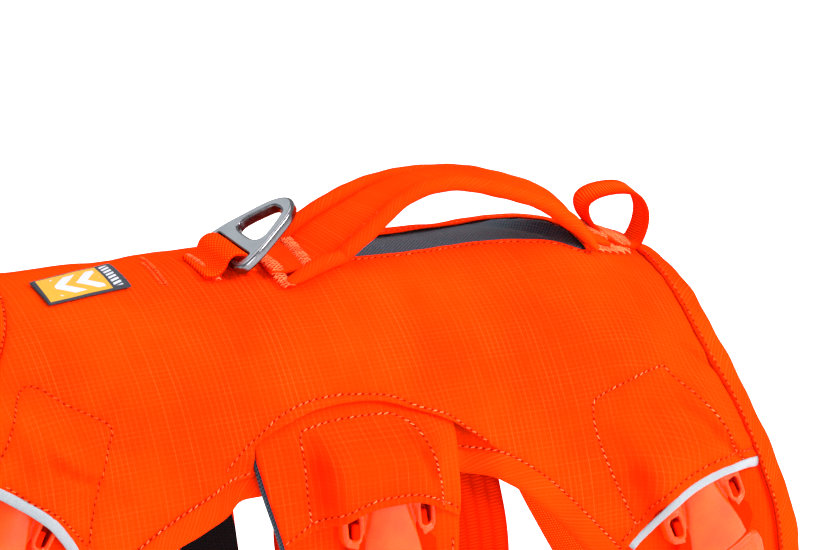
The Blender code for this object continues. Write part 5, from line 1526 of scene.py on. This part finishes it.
for nm, f in FR.items():
    c = np.array([f.world(u, 0, h + H0[nm]) for u, h in ANCHOR])
    cc, ww = fine_path(c, np.tile(f.ev, (len(c), 1)), 1.2)
    web("anchor_%s_web_r" % nm, cc, ww, width=WEB_W - 0.4, thick=1.4, node="buckle_anchor_%s_r" % nm, mirror="buckle_anchor_%s_l" % nm)
ln = even(smooth_line(LOAD_STRAP, 2.0), 2.5)
c = surf(ln[:, 0], ln[:, 1], ln[:, 2])
wv = np.cross(normals_on(ln[:, :2]), unit(np.gradient(c, axis=0)))
web("strap_load_web_r", c, wv, mat="web_load", node="strap_load_r", mirror="strap_load_l")

# ------------------------------------------------------------------ chest panel
CHEST = [(CHEST_X0, 0), (CHEST_X0, 18), (-77, 32), (-72, 44), (-70, 62), (-68, 92), (-65, 125), (-62, 141), (-55, 147), (-43, 147), (-38, 143), (-36.5, 135), (-36.5, 124), (-34, 113), (-22, 106), (2, 99),
         (15, 84), (20, 62), (30, 48), (46, 40), (70, CHEST_HALF), (110, 33), (140, 31), (158, 26), (CHEST_X1 - 2, 14), (CHEST_X1, 0)]
half = even(smooth_line(CHEST, 1.0), 2.4)
chest_outline = np.vstack([half, half[::-1][1:-1]*(1, -1)])


def chest_point(x, q, off):
    s = half_girth(x) - np.abs(q)
    return surf(x, np.where(q >= 0, s, -s), off)


def chest_off(x, q):
    d = edge_distance(chest_outline, np.stack([np.atleast_1d(x), np.atleast_1d(q)], 1))
    return -0.45*np.exp(-((d - 4.0)/1.2)**2) + 0.5*np.exp(-(d/3.2)**2) + 0.22*wob(x, q, 26.0, 41) - 0.1


ob = panel("chest_cloth", chest_outline, chest_off, 1.2, "shell_ripstop", step=2.6, point=chest_point, slot="shell_cloth", extra=[grow_loop(chest_outline, -4.0)])
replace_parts(ob, "chest_panel")
ob2 = panel("chest_lining_cloth", chest_outline, lambda x, q: -1.2 - GAP - 0.2 + 0*x, 2.0, "lining_black", step=4.0, point=chest_point, slot="lining_black")
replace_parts(ob2, "chest_lining")
ce = even(np.vstack([grow_loop(chest_outline, -4.0), grow_loop(chest_outline, -4.0)[:1]]), 1.0)
pc = chest_point(ce[:, 0], ce[:, 1], chest_off(ce[:, 0], ce[:, 1]))
needle(pc, chest_point(ce[:, 0], ce[:, 1], chest_off(ce[:, 0], ce[:, 1]) + 1) - pc, "chest", seed=41, mirror=False)

# ------------------------------------------------------------------ handle
rows = []
for x, y, z, r in HANDLE:
    if z == 0:
        z = float(surf(x, 0, 0)[0, 2]) + 2.6
    rows.append((x, y, z, r))
hl = even(smooth_line(rows, 1.0), 1.7)
cen, rol = hl[:, :3], np.radians(hl[:, 3])
t = unit(np.gradient(cen, axis=0))
yy = np.tile([0.0, 1.0, 0.0], (len(cen), 1))
upv = unit(np.cross(t, yy))
upv = np.where(upv[:, 2:3] < 0, -upv, upv)
sidev = np.cross(upv, t)
sidev = np.where(sidev[:, 1:2] < 0, -sidev, sidev)
wid = sidev*np.cos(rol)[:, None] + upv*np.sin(rol)[:, None]
nor = np.cross(t, wid)
nor = np.where((nor*upv).sum(1)[:, None] < 0, -nor, nor)
run = np.concatenate([[0], np.cumsum(np.linalg.norm(np.diff(cen, axis=0), axis=1))])
prof = []
for i in range(len(cen)):
    e = min(1.0, min(run[i], run[-1] - run[i])/14.0)
    ripple = 0.16*math.sin(run[i]*0.9 + 1.3*math.sin(run[i]*0.21))
    step_up = 0.55*float(ramp((cen[i, 0] - 44.0)/1.4))*float(ramp((74.0 - cen[i, 0])/10.0))
    row = []
    hw = HANDLE_W/2 + 0.5
    wide = 1 + 0.36*float(ramp((-38 - cen[i, 0])/9)) + 0.30*float(ramp((cen[i, 0] - 78)/9))
    for a in (-hw, -hw + 0.9, -hw + 2.2, -hw + 4.5, -hw*0.35, 0, hw*0.35, hw - 4.5, hw - 2.2, hw - 0.9, hw):
        crown = 0.9*(1 - (a/hw)**2) - 0.55*math.exp(-((abs(a) - hw + 1.0)/0.9)**2)
        row.append((a*(wide if a < 0 else 1), 0.75 + crown*e + ripple*math.exp(-((abs(a) - hw)/3.0)**2) + step_up*(1 if abs(a) < hw - 0.5 else 0)))
    for a in (hw - 0.3, hw*0.5, 0, -hw*0.5, -hw + 0.3):
        row.append((a*(wide if a < 0 else 1), -1.0 - 0.35*(1 - (a/hw)**2)))
    prof.append(row)
strip = tube("handle_strip_cloth", cen, wid, nor, prof, "strip_ripstop", slot="shell_cloth")
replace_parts(strip, "handle_strip")
endt = np.clip(np.minimum(run, run[-1] - run)/18.0, 0, 1)
roll = {}
for nm, sg in (("near", -1), ("far", 1)):
    off_w = HANDLE_W/2 + SEAM + ROLL_D/2 if sg < 0 else HANDLE_W/2 + 1.4
    rise = -1.6 + 3.6*ramp((25 - cen[:, 0])/40)*ramp((56 + cen[:, 0])/14)
    path = cen + wid*sg*off_w + nor*(0*rise if sg < 0 else rise)[:, None]
    across, upn = wid.copy(), nor.copy()
    if sg < 0:
        root = smooth_line([(x, s, h) for x, s, h in NEAR_ROLL], 1.6)
        tip = smooth_line([(x, s, h) for x, s, h in NEAR_ROLL_FRONT], 1.6)
        r3, t3 = surf(root[:, 0], root[:, 1], root[:, 2] + 1.4), surf(tip[:, 0], tip[:, 1], tip[:, 2] + 1.4)
        m = (path[:, 0] > -33) & (path[:, 0] < 73)
        path = np.vstack([r3, path[m], t3])
        path = smooth_line(path[::3], 1.7)
    else:
        m = path[:, 0] > -53
        path = path[m]
    # never below the shell
    base_z = surf(path[:, 0], -path[:, 1], 0)[:, 2]
    path[:, 2] = np.maximum(path[:, 2], base_z + 1.3)
    tt = unit(np.gradient(path, axis=0))
    idx = [nearest(cen, q) for q in path]
    upn = unit(nor[idx] - tt*np.sum(nor[idx]*tt, axis=1, keepdims=True))
    across = np.cross(upn, tt)
    rl = np.concatenate([[0], np.cumsum(np.linalg.norm(np.diff(path, axis=0), axis=1))])
    et = np.clip(np.minimum(rl, rl[-1] - rl)/16.0, 0, 1)
    pr = []
    for i, k in enumerate(et):
        g1 = 1 + 0.035*math.sin(rl[i]/5.3 + sg) + 0.03*math.sin(rl[i]/2.1 + 2*sg)
        r0 = ROLL_D/2 + (0.25 if sg < 0 else 0.0)
        pr.append([(r0*g1*math.cos(a)*(0.80 + 0.20*k), r0*g1*math.sin(a)*(0.45 + 0.55*k)) for a in np.linspace(0, 2*math.pi, 16, endpoint=False)])
    ob = tube("handle_roll_%s_cloth" % nm, path, across, upn, pr, "bias_ripstop", slot="shell_cloth")
    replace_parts(ob, "handle_roll_" + nm)
    roll[nm] = ob
edge_line = cen - wid*(HANDLE_W/2 - 0.3)
lo_i, hi_i = nearest(cen[:, :1], np.array([-30.0])), nearest(cen[:, :1], np.array([84.0]))
needle(edge_line[lo_i:hi_i] + nor[lo_i:hi_i]*0.45, nor[lo_i:hi_i], "handle", mat="thread_low", mirror=False, seed=50, hi=0.3, wid=0.45, ln=1.9, pitch=3.6, holes=False)


def dark_line(name, pts, nn, r=0.42, mirror=False):
    """the shadowed line of a seam or fold"""
    t_ = unit(np.gradient(pts, axis=0))
    ac_ = unit(np.cross(nn, t_))
    e_ = np.clip(np.minimum(np.arange(len(pts)), np.arange(len(pts))[::-1])/4.0, 0.15, 1)
    pr_ = [[(r*k*math.cos(a), r*0.6*k*math.sin(a)) for a in np.linspace(0, 2*math.pi, 6, endpoint=False)] for k in e_]
    o_ = tube(name, pts, ac_, np.cross(t_, ac_), pr_, "seam_shadow", slot="shell_cloth")
    if mirror:
        mirror_object(o_, name[:-1] + "l")
    return o_


# painted shadow lines: the strip's far seam, and the fold across the strip near its front end
i0, i1 = nearest(cen[:, :1], np.array([-36.0])), nearest(cen[:, :1], np.array([46.0]))
dark_line("handle_far_seam", cen[i0:i1] + wid[i0:i1]*(HANDLE_W/2 - 0.2) + nor[i0:i1]*0.5, nor[i0:i1], r=0.35)
q = []
for x_, w_ in ((42.5, 8.6), (46.5, 6.0), (50.5, 2.5), (53.5, -1.5), (55.5, -4.5)):
    i_ = nearest(cen[:, :1], np.array([x_]))
    q.append(np.concatenate([cen[i_] + wid[i_]*w_ + nor[i_]*(1.60 - 0.012*w_*w_), nor[i_]]))
q = np.array(q)
fp, fn_ = fine_path(q[:, :3], q[:, 3:], 0.8)
dark_line("handle_fold", fp, fn_, r=0.34)
# painted shadow lines in the ditch beside the neck and tail bindings
for nm, ln_, k_, off_ in (("neck", both_sides(neck_c), 6.55, 0.35), ("tail", both_sides(tail_c), -5.75, 0.45)):
    pl = inset(even(ln_, 2.2), k_)[2:-2]
    pp_, nn_ = surf(pl[:, 0], pl[:, 1], shell_relief(pl[:, 0], pl[:, 1]) + off_ + 0.25), normals_on(pl)
    dark_line("seam_line_" + nm, pp_, nn_, r=0.50)

# ------------------------------------------------------------------ leash ring
th = math.radians(RING_TILT)
ep, en = np.array([math.cos(th), 0, math.sin(th)]), np.array([-math.sin(th), 0, math.cos(th)])
bar = np.array([RING_BAR[0] + 0.6, -4.4, RING_BAR[1] - 1.6])
YAW = math.radians(4.0)
ev3 = np.array([-math.sin(YAW), math.cos(YAW), 0])
ep, en = np.array([ep[0]*math.cos(YAW), ep[0]*math.sin(YAW), ep[2]]), np.array([en[0]*math.cos(YAW), en[0]*math.sin(YAW), en[2]])


def ring_loop(rows, step=0.6, close_sharp=False):
    pts = [(u, v) for u, v in rows] + [(u, -v) for u, v in rows[::-1]]
    q = np.array(pts, float)
    n = len(q)
    out = []
    for i in range(n):
        a, b, c, d = q[i - 1], q[i], q[(i + 1) % n], q[(i + 2) % n]
        m = max(2, int(np.linalg.norm(c - b)/step))
        for k in range(m):
            t_ = k/m
            out.append(0.5*((2*b) + (c - a)*t_ + (2*a - 5*b + 4*c - d)*t_*t_ + (-a + 3*b - 3*c + d)*t_**3))
    return even(np.vstack([out, out[:1]]), step)[:-1]


R_OUT = ring_loop(((-1.9, 11.4), (-1.5, 14.6), (0.2, 16.6), (3.6, 17.2), (12, 15.6), (22, 12.2), (29, 9.6), (33.5, 7.0), (36.3, 4.0), (37.4, 1.2)))
R_HOLE = ring_loop(((12.6, 2.0), (12.9, 5.6), (14.2, 8.2), (16.6, 9.2), (20, 8.5), (26, 6.0), (30.0, 3.8), (31.0, 1.4)))
R_SLOT = ring_loop(((1.9, 6.0), (1.9, 12.6), (2.6, 13.5), (6.2, 13.5), (7.0, 12.6), (7.0, 6.0)))


def ring_mesh():
    """plate with a broad outer bevel, hole and slot rims; the base bar is a round rod"""
    keep = R_OUT
    loops = [(R_OUT, -1, 1.35), (R_HOLE, 1, 0.95), (R_SLOT, 1, 0.55)]
    V, F, FM = [], [], []
    rings = {}
    T = RING_T
    for li, (lp, sg, bev) in enumerate(loops):
        n = len(lp)
        prof = [(bev, 0.0)] + [(bev*(1 - math.sin(a)), bev*(1 - math.cos(a))) for a in np.linspace(0.25, math.pi/2, 5)]
        rows = [(d, T - z) for d, z in prof] + [(d, z) for d, z in prof[::-1]]
        ids = []
        for d, z in rows:
            q = grow_loop(lp, sg*d) if d > 1e-6 else lp
            ids.append(len(V))
            V += [(a, b, z) for a, b in q]
        for r in range(len(rows) - 1):
            for i in range(n):
                j = (i + 1) % n
                F.append((ids[r] + i, ids[r] + j, ids[r + 1] + j, ids[r + 1] + i))
                FM.append(1 if li == 0 or r not in (5,) else 2)
        rings[li] = (ids[0], ids[-1], n)
    for top in (0, 1):
        pts, edges, back = [], [], []
        for li in range(3):
            a, n = rings[li][top], rings[li][2]
            k = len(pts)
            pts += [Vector(V[a + i][:2]) for i in range(n)]
            back += [a + i for i in range(n)]
            edges += [(k + i, k + (i + 1) % n) for i in range(n)]
        loops2 = [np.array([V[rings[li][top] + i][:2] for i in range(rings[li][2])]) for li in range(3)]
        rv, _, rf, ov, *_ = delaunay_2d_cdt(pts, edges, [], 0, 1e-6)
        ctrs = np.array([np.mean([rv[i] for i in f], axis=0) for f in rf])
        ok = inside(loops2[0], ctrs) & ~inside(loops2[1], ctrs) & ~inside(loops2[2], ctrs)
        for f, o in zip(rf, ok):
            if o:
                F.append(tuple(back[ov[i][0]] for i in (f if top == 0 else f[::-1])))
                FM.append(0)
    V = np.array(V)
    # the base bar, thinner and round where the webbing wraps it
    m = (V[:, 0] < 2.6) & (np.abs(V[:, 1]) < 13.4)
    zc = V[:, 2] - T/2
    V[:, 2] = np.where(m, T/2 + zc*0.62, V[:, 2])
    world = bar + np.outer(V[:, 0], ep) + np.outer(V[:, 1], ev3) + np.outer(V[:, 2] - T/2, en)
    return world, F, FM


V, F, FM = ring_mesh()
bm = bmesh.new()
vs = [bm.verts.new(q*MM) for q in V]
for f_, k in zip(F, FM):
    try:
        fc = bm.faces.new([vs[i] for i in f_])
        fc.material_index = k
        fc.smooth = True
    except ValueError:
        pass
bmesh.ops.recalc_face_normals(bm, faces=bm.faces)
me = bpy.data.meshes.new("leash_ring")
for e in bm.edges:
    mi = {fc.material_index for fc in e.link_faces}
    e.smooth = not (0 in mi and len(mi) > 1)
bm.to_mesh(me)
bm.free()
for k in ("ring_face", "ring_bevel", "ring_wall"):
    me.materials.append(MAT[k])
ringo = bpy.data.objects.new("leash_ring", me)
bpy.context.scene.collection.objects.link(ringo)
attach(ringo, "ring")
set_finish(ringo, "ring_metal")
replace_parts(ringo, "v_ring")

zs = [float(surf(k, 0, 0)[0, 2]) for k in (-92, -86, -74, -68)]
web_path = [(-92, zs[0] + 1.35), (-88.2, zs[1] + 1.3), (-85.6, zs[1] + 2.6), (-83.9, 15.4), (-82.3, 18.3), (-79.0, 19.85), (-75.3, 19.0), (-73.4, 16.8), (-73.9, 13.4), (-73.6, zs[2] + 1.75), (-69.5, zs[3] + 1.35)]
c = np.array([(x, -4.8, z) for x, z in web_path])
cc, ww = fine_path(c, np.tile(ev3, (len(c), 1)), 0.8)
web("ring_webbing", cc, ww, width=WEB_W + 0.2, thick=1.5, node="v_ring_webbing")

# ------------------------------------------------------------------ front loop
z108 = float(surf(108, 0, 0)[0, 2])
LOOP_XYZ = ((112, -3, -18.2), (104.5, -2, -13.4), (99.0, 0, -8.0), (95.6, 2, -2.0), (95.8, 3, 3.6), (100.4, 2, 7.0), (108, 1, 7.9), (115.2, 0, 6.8), (120.4, -1, 2.8),
            (122.8, -2, -4.0), (121.2, -3, -11.6), (116.4, -4, -17.4), (108.5, -5, -18.4), (101.0, -6, -14.6))
c = np.array(LOOP_XYZ, float)
gz = surf(c[:, 0], -c[:, 1], 1.5)[:, 2]
c[:, 2] = np.maximum(c[:, 2], gz + 0.4)
c[0, 2], c[-1, 2] = gz[0] + 0.3, gz[-1] + 2.2
cc, ww = fine_path(c, np.tile([0.08, 1.0, 0.0], (len(c), 1)), 1.0)
web("front_loop_web", cc, ww, width=14.5, thick=2.0, node="front_loop", mat="web_loop")

# ------------------------------------------------------------------ label
x0, x1, s0, s1 = LABEL
lab = even(np.array([(-162.5, 0.5), (-124, -9), (-123.5, 14), (-161.5, 19), (-162.5, 0.5)], float), 1.2)[:-1]


def label_pat(x, s):
    lx_ = (x + 162.2)/38.4
    top_, bot_ = 0.4 - 9.4*lx_, 19 - 5*lx_
    return np.stack([x0 + lx_*(x1 - x0), s0 + (s - top_)/(bot_ - top_)*(s1 - s0)], 1)


ob = panel("label_patch", lab, lambda x, s: 1.75 + 0.12*wob(x, s, 15, 61), 0.8, "label_patch", step=1.4, slot="label_cloth", rim=0.15, pat_fn=label_pat)
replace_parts(ob, "label")


# ------------------------------------------------------------------ bar tacks
def tack_line(x0, s0, x1, s1, wid_, seed, off=0.35, per_mm=2.0, hi=0.55, mat="thread", slant=0.35, mirror=False):
    ln = np.array([(x0 + (x1 - x0)*t_, s0 + (s1 - s0)*t_) for t_ in np.linspace(0, 1, 24)])
    off = off(ln[:, 1]) if callable(off) else off
    p = surf(ln[:, 0], ln[:, 1], shell_off(ln[:, 0], ln[:, 1]) + off)
    q = surf(ln[:, 0], ln[:, 1], shell_off(ln[:, 0], ln[:, 1]) + off + 1)
    bar_tack(p, p, q - p, wid_, "tack", seed=seed, per_mm=per_mm, hi=hi, mat=mat, slant=slant)


tack_line(-106.5, -17, -108.5, 16, 1.8, 71, off=0.1, hi=0.12, mat="thread_low", per_mm=0.9)
tack_line(-109.5, -9, -110.5, 14, 1.4, 79, off=0.1, hi=0.12, mat="thread_low", per_mm=0.9)
tack_line(-89.5, -7.5, -86.6, 17.5, 2.6, 72, off=1.6, hi=0.5, per_mm=1.5)
tack_line(-63.6, 9.5, -59.6, 28.0, 6.6, 73, off=lambda s_: 2.2 + 2.3*ramp((22 - s_)/4), hi=0.8, per_mm=1.6, slant=0.3)


def tack_on(points, nn, wid_, seed, **kw):
    bar_tack(np.asarray(points), np.asarray(points), np.asarray(nn), wid_, "tack", seed=seed, **kw)


i_ = nearest(cen[:, :1], np.array([-46.5]))
sp = np.linspace(-10.5, 12.0, 20)
tack_on([cen[i_] + wid[i_]*k + nor[i_]*1.7 + t[i_]*(k*0.10) for k in sp], np.tile(nor[i_], (20, 1)), 6.4, 74, per_mm=1.7, hi=0.9, slant=0.5)
# satin patch where the handle and the loop end
for k, (x0_, s0_, x1_, s1_) in enumerate(((89.5, 22.0, 99.5, -9.0), (93.5, 21.0, 104.0, -9.5), (98.0, 19.5, 108.5, -9.5), (102.5, 17.5, 112.5, -8.5), (107.0, 14.5, 115.5, -7.0))):
    tack_line(x0_, s0_, x1_, s1_, 6.8, 75 + 5*k, off=lambda s_: 1.1 + 2.2*ramp((13 - np.abs(s_))/6), hi=0.4, per_mm=1.5, slant=0.25)

# ------------------------------------------------------------------ stitch objects
for mat, run_ in STITCH.items():
    mesh_object("stitching_" + mat, np.array(run_["v"]), run_["f"], mat, pat=np.array(run_["p"]), tone=np.array(run_["t"]), slot="webbing")
# the dark discs of painted shade over the needle holes
mesh_object("needle_holes", np.array(HOLES["v"]), HOLES["f"], "needle_hole", slot="webbing")

# ------------------------------------------------------------------ floor, light, camera
low_z = min((ob.matrix_world @ Vector(c)).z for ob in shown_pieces() for c in ob.bound_box)
FLOOR_Z = low_z - 0.0005
me = bpy.data.meshes.new("floor")
R = 14.0
me.from_pydata([(-R, -R, FLOOR_Z), (R, -R, FLOOR_Z), (R, R, FLOOR_Z), (-R, R, FLOOR_Z)], [], [(0, 1, 2, 3)])
me.materials.append(MAT["floor"])
fl = bpy.data.objects.new("floor", me)
bpy.context.scene.collection.objects.link(fl)
fl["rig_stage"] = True

sc = bpy.context.scene
sc.view_settings.view_transform = "Standard"
sc.view_settings.look = "None"
world = bpy.data.worlds.new("studio")
world.use_nodes = True
bg = next(n for n in world.node_tree.nodes if n.type == "BACKGROUND")
bg.inputs[0].default_value = (1.0, 1.0, 1.0, 1)
bg.inputs[1].default_value = 0.80
sc.world = world


def area(name, pos, target, size, watts, color=(1, 1, 1)):
    d = bpy.data.lights.new(name, "AREA")
    d.shape, d.size, d.size_y, d.energy, d.color = "RECTANGLE", size[0], size[1], watts, color
    o = bpy.data.objects.new(name, d)
    o.location = pos
    o.rotation_euler = (Vector(target) - Vector(pos)).to_track_quat("-Z", "Y").to_euler()
    sc.collection.objects.link(o)
    return o


area("key", (1.25, -1.3, 1.45), (0, -0.05, -0.05), (0.9, 0.9), 66.0)
area("top", (-0.2, 0.3, 2.2), (0, 0, 0), (1.8, 1.8), 42.0)
area("low", (0.75, -1.75, 0.15), (0, -0.05, -0.10), (0.7, 0.5), 17.0)
area("fill", (-2.0, -1.1, 0.7), (0, 0, -0.05), (1.2, 1.2), 8.0)

cam = bpy.data.cameras.new("camera")
cam.sensor_width = 36.0
cam.lens = 156.8
cam.clip_start, cam.clip_end = 0.05, 60.0
co = bpy.data.objects.new("camera", cam)
B = Vector((-0.4147, -0.8140, 0.4067)).normalized()
target = Vector((0, -0.020, -0.0038))
co.location = target + B*1.5
co.rotation_euler = B.to_track_quat("Z", "Y").to_euler()
sc.collection.objects.link(co)
sc.camera = co

# ------------------------------------------------------------------ cut areas of the cloth pieces
CUTS = {
    "shell_cloth_top": ((0.345, 0.330), "draped", ["base_cloth_r", "base_cloth_l"]),
    "slot_lining_cloth": ((0.160, 0.080), "laid", []),
    "base_cloth_r": ((0.395, 0.160), "draped", []),
    "base_cloth_l": ((0.395, 0.160), "draped", []),
    "tab_cloth_r": ((0.089, 0.138), "draped", ["tab_lining_cloth_r"]),
    "tab_cloth_l": ((0.089, 0.138), "draped", ["tab_lining_cloth_l"]),
    "tab_lining_cloth_r": ((0.091, 0.138), "draped", []),
    "tab_lining_cloth_l": ((0.091, 0.138), "draped", []),
    "tab_flap_cloth_r": ((0.088, 0.072), "draped", ["tab_cloth_r"]),
    "tab_flap_cloth_l": ((0.088, 0.072), "draped", ["tab_cloth_l"]),
    "chest_cloth": ((0.250, 0.296), "draped", ["chest_lining_cloth"]),
    "chest_lining_cloth": ((0.250, 0.296), "draped", []),
}
for nm, (flat, held, rests) in CUTS.items():
    a = CUT_AREA[nm if nm in CUT_AREA else nm[:-1] + "r"]
    print("cut", nm, round(a, 5))
